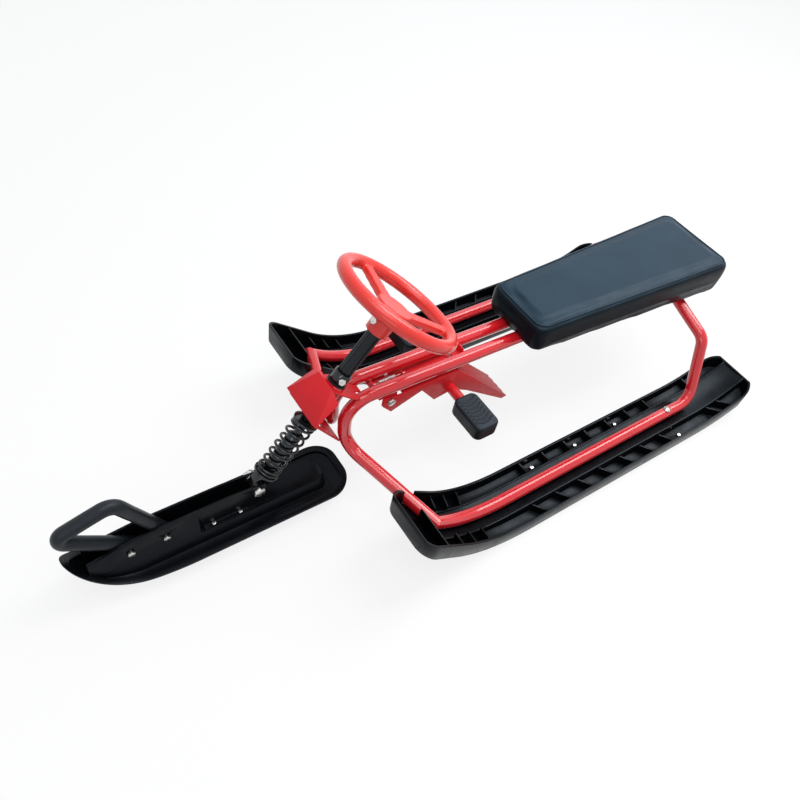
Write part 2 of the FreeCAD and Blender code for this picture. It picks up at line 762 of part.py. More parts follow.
def steering_shaft():
    """Solid shaft: thick through the head and column, thin rod inside the strut."""
    upper = cyl(UP * (SPRING_HIGH + SPRING_SEAT_T), UP * (BOSS_HIGH - 4), SHAFT_D / 2)
    rod = cyl(UP * (SPRING_LOW + STRUT_TRAVEL + 2), UP * (SPRING_HIGH + SPRING_SEAT_T), ROD_D / 2)
    shaft = fuse(upper, rod)
    shaft = cross_hole(shaft, COLLAR_BOLT_S, COLLAR_BOLT_AXIS)
    return on_head(cross_hole(shaft, BOSS_BOLT_S, BOSS_BOLT_AXIS))


def upper_spring_seat():
    low = UP * SPRING_HIGH
    return on_head(ring(low, low + UP * SPRING_SEAT_T, SPRING_SEAT_D / 2, ROD_D / 2 + FIT))


def bush(s, direction):
    """Flanged bush pressed into one end of the head tube."""
    start = UP * s
    inner = SHAFT_D / 2 + RUN
    flange = ring(start, start + UP * (direction * BUSH_FLANGE), HEAD_TUBE_D / 2, inner)
    body = ring(start - UP * (direction * BUSH_LEN), start, BUSH_D / 2, inner)
    return on_head(fuse(flange, body))


def head_tube():
    return on_head(ring(UP * HEAD_TUBE_LOW, UP * HEAD_TUBE_HIGH, HEAD_TUBE_D / 2, BUSH_D / 2 + FIT))


def column_collar():
    collar = ring(UP * COLLAR_LOW, UP * COLLAR_HIGH, COLLAR_D / 2, SHAFT_D / 2 + FIT)
    return on_head(cross_hole(collar, COLLAR_BOLT_S, COLLAR_BOLT_AXIS))


def cross_bolt(s, axis, outer_d):
    """Bolt through a round piece on the shaft, with its nut on the far side."""
    head_at = UP * s + axis * (outer_d / 2)
    return on_head(bolt(head_at, axis * -1, outer_d + 7, CROSS_BOLT_D, 10, 4))


def cross_nut(s, axis, outer_d):
    return on_head(nut(UP * s - axis * (outer_d / 2), axis * -1, CROSS_BOLT_D, 10, 5))


def column_sleeve():
    """Column cover with fine lengthwise ribs and a lip under the boss."""
    low = UP * COLLAR_HIGH
    high = UP * SLEEVE_HIGH
    bore = SHAFT_D / 2 + FIT
    shape = ring(low, high, SLEEVE_D / 2, bore)
    shape = shape.fuse(ring(high - UP * 3, high, SLEEVE_LIP_D / 2, bore))
    for index in range(SLEEVE_RIBS):
        turn = 360.0 * index / SLEEVE_RIBS
        rib = box(SLEEVE_D / 2 - 0.6, SLEEVE_D / 2 + SLEEVE_RIB_H, -1, 1, COLLAR_HIGH, SLEEVE_HIGH - 3)
        rib.rotate(V(0, 0, 0), UP, turn)
        shape = shape.fuse(rib)
    return on_head(shape.removeSplitter())


def wheel_boss():
    boss = ring(UP * BOSS_LOW, UP * BOSS_HIGH, BOSS_D / 2, SHAFT_D / 2 + FIT)
    boss = boss.fuse(Part.makeCone(BOSS_D / 2, HUB_D / 2 - 4, BOSS_LEN * 0.35, UP * (BOSS_HIGH - BOSS_LEN * 0.35), UP))
    boss = boss.cut(cyl(UP * (BOSS_LOW - 1), UP * (BOSS_HIGH + 1), SHAFT_D / 2 + FIT))
    return on_head(cross_hole(boss.removeSplitter(), BOSS_BOLT_S, BOSS_BOLT_AXIS))


def steering_wheel():
    """Round rim on three flat spokes that rise to it from a disc hub."""
    centre = UP * WHEEL_S
    rim = Part.makeTorus(WHEEL_R, RIM_D / 2, centre + UP * RIM_RISE, UP)
    hub = cyl(centre - UP * (HUB_T / 2), centre + UP * (HUB_T / 2), HUB_D / 2)
    wheel = rim.fuse(hub)
    for angle in SPOKE_ANGLES:
        inner = HUB_D / 2 - 8
        outline = [(inner, -SPOKE_W / 2), (WHEEL_R, -SPOKE_W / 2 + 3), (WHEEL_R, SPOKE_W / 2 - 3),
                   (inner, SPOKE_W / 2)]
        rise = [(inner, -SPOKE_T / 2), (WHEEL_R, RIM_RISE - SPOKE_T / 2), (WHEEL_R, RIM_RISE + SPOKE_T / 2),
                (inner, SPOKE_T / 2)]
        slope = side_prism([(x, WHEEL_S + z) for x, z in rise], -SPOKE_W, SPOKE_W)
        spoke = plan_prism(outline, WHEEL_S - 2 * SPOKE_T, WHEEL_S + RIM_RISE + 2 * SPOKE_T).common(slope)
        spoke.rotate(V(0, 0, 0), UP, angle)
        wheel = wheel.fuse(spoke)
    return on_head(wheel.removeSplitter())


def sheet(points, thickness):
    """Flat plate from corner points, thickened along the way its corners turn."""
    face = Part.Face(polygon(points))
    normal = unit((V(*points[1]) - V(*points[0])).cross(V(*points[2]) - V(*points[1])))
    return face.extrude(normal * thickness)


def head_shield():
    """Front plate of the head with side flanges folded back."""
    low = HEAD_TUBE_LOW
    high = HEAD_TUBE_HIGH
    front = [(SHIELD_LOW_N, -SHIELD_LOW_HALF, low), (SHIELD_TOP_N, -SHIELD_TOP_HALF, high),
             (SHIELD_TOP_N, SHIELD_TOP_HALF, high), (SHIELD_LOW_N, SHIELD_LOW_HALF, low)]
    plate = sheet(front, SHEET)
    knee = (SHIELD_TOP_N - WING_BACK, SHIELD_LOW_HALF - WING_IN, high - WING_DROP)
    wing = sheet([front[2], knee, front[3]], SHEET)
    return on_head(fuse(plate, wing, mirrored(wing)))


def crown_plate():
    """Ring plate round the head tube, reaching back to a tongue between the top tubes."""
    high = HEAD_TUBE_HIGH - 4
    front = SHIELD_TOP_N - SHEET - WELD_GAP
    half = SHIELD_TOP_HALF - 1
    tongue = TOP_HALF - TUBE_D / 2 - WELD_GAP
    outline = [(front, -half), (front, half), (-CROWN_BACK / 2, CROWN_HALF), (-CROWN_BACK, CROWN_HALF),
               (-CROWN_BACK, tongue), (-TONGUE_BACK, tongue), (-TONGUE_BACK, -tongue),
               (-CROWN_BACK, -tongue), (-CROWN_BACK, -CROWN_HALF), (-CROWN_BACK / 2, -CROWN_HALF)]
    plate = plan_prism(outline, high - SHEET, high)
    return on_head(plate.cut(cyl(UP * (high - 9), UP * (high + 9), HEAD_TUBE_D / 2 + FIT)))


def gusset_plate():
    """Lower plate from the shield's foot back to the front legs, open round the shaft."""
    front = SHIELD_LOW_N - SHEET - WELD_GAP
    share = (GUSSET_Z - FRONT_KNEE[1]) / (TOP_FRONT_Z - FRONT_KNEE[1])
    leg_x = FRONT_KNEE[0] + (TOP_FRONT_X - FRONT_KNEE[0]) * share
    back = head_local(V(leg_x + TUBE_D / 2 + SEAT_GAP, 0, GUSSET_Z))
    low = HEAD_TUBE_LOW
    points = [(front, -SHIELD_LOW_HALF + GUSSET_FRONT_IN, low), (front, SHIELD_LOW_HALF - GUSSET_FRONT_IN, low),
              (back.x, GUSSET_BACK_HALF, back.z), (back.x, -GUSSET_BACK_HALF, back.z)]
    plate = sheet(points, -SHEET)
    return on_head(plate.cut(cyl(UP * (low - 80), UP * (low + 80), SPRING_SEAT_D / 2 + 2)))


def head_local(p):
    """World point seen in the head's own directions."""
    return HEAD.inverse().multVec(p)


def spring_tube(points, tangents, radius):
    """One unbroken wire through points with given directions, as pairs of tangent arcs."""
    edges = []
    for start, end, out, into in zip(points[:-1], points[1:], tangents[:-1], tangents[1:]):
        chord = end - start
        both = out + into
        square = 2 * (1 - out.dot(into))
        if square < 1e-9:
            edges.append(Part.LineSegment(start, end).toShape())
            continue
        reach = (-chord.dot(both) + math.sqrt(chord.dot(both) ** 2 + square * chord.dot(chord))) / square
        joint = (start + out * reach + end - into * reach) * 0.5
        edges.append(arc_from(start, out, joint))
        edges.append(arc_from(end, into * -1, joint))
    ordered = Part.Wire(Part.__sortEdges__(edges))
    section = Part.Wire([Part.Circle(points[0], tangents[0], radius).toShape()])
    return ordered.makePipeShell([section], True, False)


def arc_from(start, direction, end):
    chord = end - start
    along = unit(chord)
    cosine = max(-1.0, min(1.0, direction.dot(along)))
    turn = math.acos(cosine)
    bulge = direction - along * cosine
    if bulge.Length < 1e-9:
        return Part.LineSegment(start, end).toShape()
    middle = (start + end) * 0.5 + unit(bulge) * (chord.Length / 2 * math.tan(turn / 2))
    return Part.Arc(start, middle, end).toShape()


def coil_stations(turns, height, radius):
    """Points and directions each quarter turn of a coil whose height follows a function."""
    points = []
    tangents = []
    step = 1e-4
    for index in range(4 * turns + 1):
        t = index / 4
        turn = 2 * math.pi * t
        rise = (height(min(t + step, turns)) - height(max(t - step, 0)))
        rise /= 2 * math.pi * (min(t + step, turns) - max(t - step, 0))
        points.append(V(radius * math.cos(turn), radius * math.sin(turn), height(t)))
        tangents.append(unit(V(-radius * math.sin(turn), radius * math.cos(turn), rise)))
    return points, tangents


def least_gap(points_of, count, wire, apart):
    """Least clear gap of a coil to itself, measured on points."""
    samples = [points_of(i / 24) for i in range(24 * count + 1)]
    least = min((samples[i] - samples[j]).Length
                for i in range(len(samples)) for j in range(i + apart, len(samples)))
    return least - wire


def coil_spring():
    """Compression spring: one closed turn at each end and six open turns between."""
    turns = SPRING_ACTIVE + 2
    low = SPRING_LOW + SPRING_WIRE / 2 + SEAT_GAP
    high = SPRING_HIGH - SPRING_WIRE / 2 - SEAT_GAP
    open_pitch = (high - low - 2 * SPRING_END_PITCH) / SPRING_ACTIVE

    def height(t):
        if t <= 1:
            return low + SPRING_END_PITCH * t
        if t >= turns - 1:
            return high - SPRING_END_PITCH * (turns - t)
        return low + SPRING_END_PITCH + open_pitch * (t - 1)

    def at(t):
        turn = 2 * math.pi * t
        return V(SPRING_R * math.cos(turn), SPRING_R * math.sin(turn), height(t))

    points, tangents = coil_stations(turns, height, SPRING_R)
    points.insert(0, points[0] - tangents[0] * SPRING_WIRE)
    tangents.insert(0, tangents[0])
    points.append(points[-1] + tangents[-1] * SPRING_WIRE)
    tangents.append(tangents[-1])
    print("coil_spring least gap", round(least_gap(at, turns, SPRING_WIRE, 14), 2))
    return on_head(spring_tube(points, tangents, SPRING_WIRE / 2))


def strut_stem():
    low = SPRING_LOW - SPRING_SEAT_T
    tube_part = ring(UP * low, UP * STEM_HIGH, STEM_D / 2, ROD_D / 2 + RUN)
    return on_head(tube_part)


def lower_spring_seat():
    low = UP * (SPRING_LOW - SPRING_SEAT_T)
    return on_head(ring(low, low + UP * SPRING_SEAT_T, SPRING_SEAT_D / 2, STEM_D / 2 + FIT))


def ski_lug():
    """Block at the foot of the strut with the bore for the ski's pivot bolt."""
    high = SPRING_LOW - SPRING_SEAT_T
    low = SKI_PIVOT_S - LUG_HALF_N
    block = box(-LUG_HALF_N, LUG_HALF_N, -LUG_HALF_Y, LUG_HALF_Y, SKI_PIVOT_S, high)
    foot = cyl(V(SKI_PIVOT_N, -LUG_HALF_Y, SKI_PIVOT_S), V(SKI_PIVOT_N, LUG_HALF_Y, SKI_PIVOT_S),
               SKI_PIVOT_S - low - SKI_PIVOT_N)
    bore = cyl(V(SKI_PIVOT_N, -60, SKI_PIVOT_S), V(SKI_PIVOT_N, 60, SKI_PIVOT_S), PIVOT_D / 2 + RUN)
    return on_head(fuse(block, foot).cut(bore))


PIVOT = HEAD.multVec(V(SKI_PIVOT_N, 0, SKI_PIVOT_S))


def nose_lift(x, flat_x, nose_r):
    """Rise of a line that runs level and then bends up in one arc."""
    run = min(max(x - flat_x, 0.0), 0.98 * nose_r)
    return nose_r - math.sqrt(nose_r ** 2 - run ** 2)


def front_curve(lift, flat_x, nose_r):
    """Line along the front ski, raised upright: lifted tail, level run and nose."""
    half_x = (flat_x + FSKI_TIP_X) / 2
    nose = [V(x, 0, lift + nose_lift(x, flat_x, nose_r)) for x in (flat_x, half_x, FSKI_TIP_X)]
    ends = (FSKI_REAR_X - 2 * RIM_W, (FSKI_REAR_X + FSKI_TAIL_X) / 2, FSKI_TAIL_X)
    tail = [V(x, 0, lift + nose_lift(-x, -FSKI_TAIL_X, FSKI_TAIL_R)) for x in ends]
    level = Part.LineSegment(tail[-1], nose[0]).toShape()
    return [Part.Arc(*tail).toShape(), level, Part.Arc(*nose).toShape()]


def front_solid(bottom, top):
    """Solid between two lines along the front ski, right across it."""
    rear = Part.LineSegment(top[0].Vertexes[0].Point, bottom[0].Vertexes[0].Point).toShape()
    front = Part.LineSegment(bottom[-1].Vertexes[-1].Point, top[-1].Vertexes[-1].Point).toShape()
    face = Part.Face(Part.Wire(bottom + [front] + top[::-1] + [rear]))
    face.translate(V(0, -FSKI_W, 0))
    return face.extrude(V(0, 2 * FSKI_W, 0))


def rim_line(lift):
    return front_curve(lift, FSKI_FLAT_X, FSKI_NOSE_R)


def keel_line(lift):
    return front_curve(lift, KEEL_FLAT_X, KEEL_NOSE_R)


def ski_plan(half, run, z):
    """Plan outline of the front ski at one width: long oval nose, rounded rear corners."""
    inset = FSKI_W / 2 - half
    rear = FSKI_REAR_X + inset
    r = FSKI_REAR_R - inset
    shoulder = FSKI_TIP_X - FSKI_NOSE_RUN
    diag = math.sqrt(0.5)
    oval = Part.Ellipse(V(shoulder, 0, z), run, half)
    right = Part.Arc(V(rear, -half + r, z), V(rear + r - r * diag, -half + r - r * diag, z), V(rear + r, -half, z))
    left = Part.Arc(V(rear + r, half, z), V(rear + r - r * diag, half - r + r * diag, z), V(rear, half - r, z))
    return Part.Wire([
        Part.LineSegment(V(rear + r, -half, z), V(shoulder, -half, z)).toShape(),
        Part.ArcOfEllipse(oval, -math.pi / 2, math.pi / 2).toShape(),
        Part.LineSegment(V(shoulder, half, z), V(rear + r, half, z)).toShape(),
        left.toShape(),
        Part.LineSegment(V(rear, half - r, z), V(rear, -half + r, z)).toShape(),
        right.toShape(),
    ])


def upright_plan(inset):
    wire = ski_plan(FSKI_W / 2 - inset, FSKI_NOSE_RUN - inset, -5)
    return Part.Face(wire).extrude(V(0, 0, FSKI_W * 2))


def drafted_plan(inset):
    """Plan that widens upwards, as the outer side of the ski's hull does."""
    levels = []
    for z in (0.0, FSKI_W):
        half = KEEL_HALF + KEEL_DRAFT * z - inset
        levels.append(ski_plan(half, KEEL_RUN + KEEL_RUN_DRAFT * z - inset, z))
    return Part.makeLoft(levels, True, True)


def hump_outline(half, z):
    """Plan of the raised middle, with rounded rear corners, at one height."""
    rear = HUMP_REAR_X + HUMP_BASE_HALF - half
    r = HUMP_REAR_R
    diag = math.sqrt(0.5)
    right = Part.Arc(V(rear, -half + r, z), V(rear + r - r * diag, -half + r - r * diag, z), V(rear + r, -half, z))
    left = Part.Arc(V(rear + r, half, z), V(rear + r - r * diag, half - r + r * diag, z), V(rear, half - r, z))
    return Part.Wire([
        Part.LineSegment(V(rear + r, -half, z), V(FSKI_TIP_X, -half, z)).toShape(),
        Part.LineSegment(V(FSKI_TIP_X, -half, z), V(FSKI_TIP_X, half, z)).toShape(),
        Part.LineSegment(V(FSKI_TIP_X, half, z), V(rear + r, half, z)).toShape(),
        left.toShape(),
        Part.LineSegment(V(rear, half - r, z), V(rear, -half + r, z)).toShape(),
        right.toShape(),
    ])


def side_wall():
    """Left moulded wall of the channel, its flank sloping out to the hump's edge."""
    low = HUMP_Z - 1
    outer = CHEEK_IN + CHEEK_T + SEAT_GAP
    outline = [(WALL_REAR_X, low), (WALL_FRONT_X, low), (WALL_FRONT_X, WALL_NOSE_Z),
               (LOOP_FRONT_FOOT_X + 34, WALL_NOSE_Z + 9), (LOOP_FRONT_FOOT_X, WALL_TOP_Z - 1),
               (WALL_REAR_X, WALL_TOP_Z)]
    plate = side_prism(outline, CHEEK_IN, HUMP_TOP_HALF)
    flank = [(CHEEK_IN, low), (HUMP_TOP_HALF, low), (outer, WALL_TOP_Z), (CHEEK_IN, WALL_TOP_Z)]
    return plate.common(prism([(WALL_REAR_X, y, z) for y, z in flank], (WALL_FRONT_X - WALL_REAR_X, 0, 0)))


def front_ski():
    """Shallow dish on a drafted hull, with a raised middle and a channel for the loop's feet."""
    hull = front_solid(keel_line(0), rim_line(FSKI_RIM_Z)).common(drafted_plan(0))
    flange = front_solid(rim_line(FSKI_RIM_Z - FLANGE_T), rim_line(FSKI_RIM_Z)).common(upright_plan(0))
    dish = front_solid(rim_line(FSKI_FLOOR_Z), rim_line(FSKI_RIM_Z + FSKI_W)).common(upright_plan(RIM_W))
    pocket = box(FSKI_REAR_X, POCKET_FRONT_X, -FSKI_W, FSKI_W, -5, FSKI_FLOOR_Z - FSKI_SKIN)
    above = front_solid(keel_line(FSKI_SKIN), rim_line(FSKI_RIM_Z + FSKI_W)).common(upright_plan(RIM_W / 2))
    hump = Part.makeLoft([hump_outline(HUMP_BASE_HALF, FSKI_FLOOR_Z - FSKI_SKIN / 2),
                          hump_outline(HUMP_TOP_HALF, HUMP_Z)], True, True).common(above)
    wall = side_wall().common(above)
    tunnel = box(HUMP_REAR_X + HUMP_BASE_HALF, POCKET_FRONT_X, -TUNNEL_HALF, TUNNEL_HALF, 0, HUMP_Z - TUNNEL_SKIN)
    shell = fuse(hull, flange).cut(dish).cut(pocket.common(drafted_plan(FSKI_WALL)))
    whole = fuse(shell, hump, wall, mirrored(wall)).cut(tunnel)
    for hole in loop_holes() + cheek_screw_holes():
        whole = whole.cut(hole)
    return whole


def cheek_screw_holes():
    return [cyl(V(x, side * CHEEK_SCREW_Y, HUMP_Z - TUNNEL_SKIN / 2), V(x, side * CHEEK_SCREW_Y, HUMP_Z + FSKI_RIM_Z),
                SCREW_D / 2 + FIT) for x in CHEEK_SCREW_X for side in (-1, 1)]


def cheek_plate():
    """Left upright plate that carries the ski's pivot bolt, with a foot screwed to the hump."""
    foot = HUMP_Z + SEAT_GAP
    rear = PIVOT.x - 26
    front = WALL_REAR_X - SEAT_GAP
    outline = [(rear, foot), (front, foot), (front, WALL_TOP_Z), (PIVOT.x + 50, WALL_TOP_Z),
               (PIVOT.x - 12, WALL_TOP_Z - 5), (PIVOT.x - 17, PIVOT.z - 9)]
    plate = side_prism(outline, CHEEK_IN, CHEEK_IN + CHEEK_T)
    ledge = box(CHEEK_FOOT_X[0], CHEEK_FOOT_X[1], CHEEK_IN, HUMP_TOP_HALF, foot, foot + CHEEK_T)
    plate = fuse(plate, ledge)
    plate = plate.cut(cyl(V(PIVOT.x, 0, PIVOT.z), V(PIVOT.x, 60, PIVOT.z), PIVOT_D / 2 + FIT))
    for hole in cheek_screw_holes():
        plate = plate.cut(hole)
    return plate


def cheek_screws():
    """Short screws through the cheek plates' feet into the hump."""
    screws = []
    top = HUMP_Z + SEAT_GAP + CHEEK_T
    for x in CHEEK_SCREW_X:
        for side in (-1, 1):
            place = V(x, side * CHEEK_SCREW_Y, 0)
            shank = cyl(place + V(0, 0, HUMP_Z - TUNNEL_SKIN / 2), place + V(0, 0, top), SCREW_D / 2)
            head = cyl(place + V(0, 0, top), place + V(0, 0, top + SCREW_HEAD), SCREW_HEAD_D / 2 - 0.6)
            screws.append(fuse(shank, head))
    return Part.makeCompound(screws)


def loop_path():
    """Bow in the middle plane, both feet inside the channel."""
    return bent_path([(LOOP_REAR_FOOT_X, 0, LOOP_FOOT_Z), (LOOP_TOP[0], 0, LOOP_TOP[1]),
                      (LOOP_APEX[0], 0, LOOP_APEX[1]), (LOOP_FRONT_FOOT_X, 0, LOOP_FOOT_Z)],
                     [LOOP_TOP_R, LOOP_APEX_R])


def loop_bolt_places():
    """Points on both legs of the loop, LOOP_BOLT_RISE above their feet."""
    places = []
    for foot, (x, z) in ((LOOP_REAR_FOOT_X, LOOP_TOP), (LOOP_FRONT_FOOT_X, LOOP_APEX)):
        share = LOOP_BOLT_RISE / (z - LOOP_FOOT_Z)
        places.append(V(foot + (x - foot) * share, 0, LOOP_FOOT_Z + LOOP_BOLT_RISE))
    return places


def loop_holes():
    return [cyl(p - V(0, 60, 0), p + V(0, 60, 0), LOOP_BOLT_D / 2 + FIT) for p in loop_bolt_places()]


def front_loop():
    shape = swept(loop_path(), LOOP_D / 2)
    for hole in loop_holes():
        shape = shape.cut(hole)
    return shape


def wall_reach(z):
    """Half width over the channel's walls at a height."""
    outer = CHEEK_IN + CHEEK_T + SEAT_GAP
    share = (z - HUMP_Z + 1) / (WALL_TOP_Z - HUMP_Z + 1)
    return HUMP_TOP_HALF + (outer - HUMP_TOP_HALF) * share


def loop_bolts():
    bolts = []
    for p in loop_bolt_places():
        reach = wall_reach(p.z - LOOP_BOLT_D)
        bolts.append(bolt(p + V(0, reach, 0), V(0, -1, 0), 2 * reach + 7, LOOP_BOLT_D, 10, 4))
    return Part.makeCompound(bolts)


def loop_nuts():
    return Part.makeCompound([nut(p - V(0, wall_reach(p.z - LOOP_BOLT_D), 0), V(0, -1, 0), LOOP_BOLT_D, 10, 5)
                              for p in loop_bolt_places()])


def ski_pivot_bolt():
    reach = CHEEK_IN + CHEEK_T
    return bolt(PIVOT + V(0, reach, 0), V(0, -1, 0), 2 * reach + 10, PIVOT_D, 17, 6)


def ski_pivot_nut():
    return nut(PIVOT - V(0, CHEEK_IN + CHEEK_T, 0), V(0, -1, 0), PIVOT_D, 17, 8)


def ski_pivot_spacers():
    spacers = []
    for side in (-1, 1):
        start = PIVOT + V(0, side * (LUG_HALF_Y + WELD_GAP), 0)
        spacers.append(ring(start, PIVOT + V(0, side * CHEEK_IN, 0), PIVOT_D, PIVOT_D / 2 + FIT))
    return Part.makeCompound(spacers)


def brake_bracket():
    """Folded hanger under the top tubes with two ears and a hook for the return spring."""
    top = top_z(BRAKE_X) - TUBE_D / 2 - SEAT_GAP - TOP_SLOPE * 20
    low = BRAKE_Z - 11
    rear = BRAKE_X - 14
    front = BRAKE_X + 20
    side = EAR_Y - EAR_GAP
    shape = box(rear, front, -side, side, top - SHEET, top)
    ear = box(rear, BRAKE_X + 12, side - SHEET, side, low, top)
    tab_half = TOP_HALF - TUBE_D / 2 - 1.5
    tab = box(front - SHEET, front, -tab_half, tab_half, top - SHEET, PULL_Z + 6)
    shape = fuse(shape, ear, mirrored(ear), tab)
    pin = cyl(V(BRAKE_X, -60, BRAKE_Z), V(BRAKE_X, 60, BRAKE_Z), BRAKE_PIN_D / 2 + FIT)
    eye = cyl(V(front - 9, 0, PULL_Z), V(front + 9, 0, PULL_Z), PULL_WIRE)
    swing = PULL_R + PULL_WIRE
    slot = box(rear - 1, front - 2 * SHEET, -swing, swing, low, top + 1)
    return shape.cut(pin).cut(eye).cut(slot)


def brake_pin():
    reach = EAR_Y + SHEET + WELD_GAP
    return bolt(V(BRAKE_X, reach, BRAKE_Z), V(0, -1, 0), 2 * reach + 9, BRAKE_PIN_D, 13, 5.5)


def brake_pin_nut():
    return nut(V(BRAKE_X, -EAR_Y - SHEET - WELD_GAP, BRAKE_Z), V(0, -1, 0), BRAKE_PIN_D, 13, 7)


def claw_point(share, drop=0.0):
    """Point on the claw's slope between its fold and its teeth."""
    run = V(CLAW_TIP_X - CLAW_X, 0, CLAW_TIP_Z - PLATE_Z)
    square = unit(V(run.z, 0, -run.x)) * -1
    return V(CLAW_X, 0, PLATE_Z) + run * share + square * drop


def brake_flap():
    """Folded plate: two hinge flanges, a flat deck and a claw with teeth."""
    outer = EAR_Y + SHEET
    flange = [(BRAKE_X + 11, BRAKE_Z + 7), (BRAKE_X + 12, BRAKE_Z - 10), (BRAKE_X - 6, BRAKE_Z - 31),
              (BRAKE_X - 63, BRAKE_Z - 9), (BRAKE_X - 96, BRAKE_Z - 50), (BAR_X - 12, BAR_Z - 14)]
    tail_low = claw_point(CLAW_SHARE, CLAW_FLANGE)
    tail_high = claw_point(CLAW_SHARE)
    lip_low = claw_point(0.97, CLAW_LIP)
    flange += [(tail_low.x, tail_low.z), (tail_high.x, tail_high.z), (CLAW_X, PLATE_Z),
               (PLATE_FRONT_X, PLATE_Z)]
    wing = side_prism(flange, EAR_Y, outer)
    deck = box(CLAW_X, PLATE_FRONT_X, -outer, outer, PLATE_Z - SHEET, PLATE_Z)
    first = claw_point(0)
    last = claw_point(1)
    claw = side_prism([(first.x, first.z), (last.x, last.z),
                       (claw_point(1, SHEET).x, claw_point(1, SHEET).z),
                       (claw_point(0, SHEET).x + 1, PLATE_Z - SHEET)], -outer, outer)
    lip = side_prism([(tail_high.x, tail_high.z), (last.x, last.z),
                      (lip_low.x, lip_low.z), (tail_low.x, tail_low.z)], EAR_Y, outer)
    shape = fuse(deck, wing, mirrored(wing), claw, lip, mirrored(lip))
    pitch = 2 * outer / CLAW_TEETH
    run = unit(last - first)
    for index in range(CLAW_TEETH):
        middle = -outer + pitch * (index + 0.5)
        notch_root = last - run * CLAW_TOOTH
        points = [V(notch_root.x, middle, notch_root.z), V(last.x, middle - pitch * 0.32, last.z) + run,
                  V(last.x, middle + pitch * 0.32, last.z) + run]
        square = unit(V(run.z, 0, -run.x)) * 12
        tri = Part.Face(Part.makePolygon([p - square for p in points] + [points[0] - square]))
        shape = shape.cut(tri.extrude(square * 2))
    lug = box(PULL_REAR_X - SHEET, PULL_REAR_X, -4, 4, PLATE_Z - SHEET, PULL_Z + 3.5)
    shape = fuse(shape, lug)
    eye = cyl(V(PULL_REAR_X - 9, 0, PULL_Z), V(PULL_REAR_X + 9, 0, PULL_Z), PULL_EYE_D / 2)
    shape = shape.cut(eye)
    pin = cyl(V(BRAKE_X, -60, BRAKE_Z), V(BRAKE_X, 60, BRAKE_Z), BRAKE_PIN_D / 2 + RUN)
    rod = cyl(V(BAR_X, -60, BAR_Z), V(BAR_X, 60, BAR_Z), BAR_D / 2 + FIT)
    return shape.cut(pin).cut(rod)


def pedal_bar():
    """Cross tube through the flap's flanges, carrying a pedal on each end."""
    return ring(V(BAR_X, -BAR_HALF, BAR_Z), V(BAR_X, BAR_HALF, BAR_Z), BAR_D / 2, BAR_D / 2 - 2)


def pedal():
    """Left rubber pedal: a rounded block with curved grip ribs, blind bore for the bar."""
    low = PEDAL_IN
    high = PEDAL_IN + PEDAL_LEN
    block = box(BAR_X - PEDAL_W / 2, BAR_X + PEDAL_W / 2, low, high, BAR_Z - PEDAL_T / 2, BAR_Z + PEDAL_T / 2)
    upright = [e for e in block.Edges if abs(e.Vertexes[0].Z - e.Vertexes[1].Z) > 1]
    block = block.makeFillet(12, upright)
    block = block.makeFillet(5, [e for e in block.Edges if abs(e.CenterOfMass.z - BAR_Z) > 1])
    pitch = (PEDAL_LEN - 20) / PEDAL_RIBS
    bars = []
    for index in range(PEDAL_RIBS):
        y = low + 10 + pitch * (index + 0.5)
        start = V(BAR_X - PEDAL_W / 2 + 7, y - 3, BAR_Z + PEDAL_T / 2)
        middle = V(BAR_X, y + 2.5, BAR_Z + PEDAL_T / 2)
        end = V(BAR_X + PEDAL_W / 2 - 7, y - 3, BAR_Z + PEDAL_T / 2)
        path = Part.Wire([Part.Arc(start, middle, end).toShape()])
        bars.append(swept(path, 1.9))
    bore = cyl(V(BAR_X, low - 5, BAR_Z), V(BAR_X, BAR_HALF + SEAT_GAP, BAR_Z), BAR_D / 2 + FIT)
    return fuse(block, *bars).cut(bore)


def pull_spring():
    """Return spring of the brake: close coil with its ends turned in to the middle line."""
    length = PULL_TURNS * PULL_PITCH
    span = PULL_FRONT_X - PULL_REAR_X
    tail = (span - length) / 2

    def height(t):
        return tail + PULL_PITCH * t

    def at(t):
        turn = 2 * math.pi * t
        return V(PULL_R * math.cos(turn), PULL_R * math.sin(turn), height(t))

    points, tangents = coil_stations(PULL_TURNS, height, PULL_R)
    lead = 2 * PULL_R
    points = [V(0, 0, -SHEET - PULL_TAIL), V(0, 0, tail - lead)] + points + [V(0, 0, span - tail + lead), V(0, 0, span)]
    tangents = [UP, UP] + tangents + [UP, UP]
    print("pull_spring least gap", round(least_gap(at, PULL_TURNS, PULL_WIRE, 14), 2))
    shape = spring_tube(points, tangents, PULL_WIRE / 2)
    shape.rotate(V(0, 0, 0), V(0, 1, 0), 90)
    shape.translate(V(PULL_REAR_X, 0, PULL_Z))
    return shape


def cross_plate():
    """Short plate between the top tubes behind the deck, in front of the seat."""
    gap = TOP_HALF - TUBE_D / 2 - WELD_GAP
    x = -4.0
    z = top_z(x)
    return box(x - SHEET, x, -gap, gap, z - 6, z + 8).fuse(box(x, x + 16, -gap, gap, z - 6, z - 6 + SHEET))


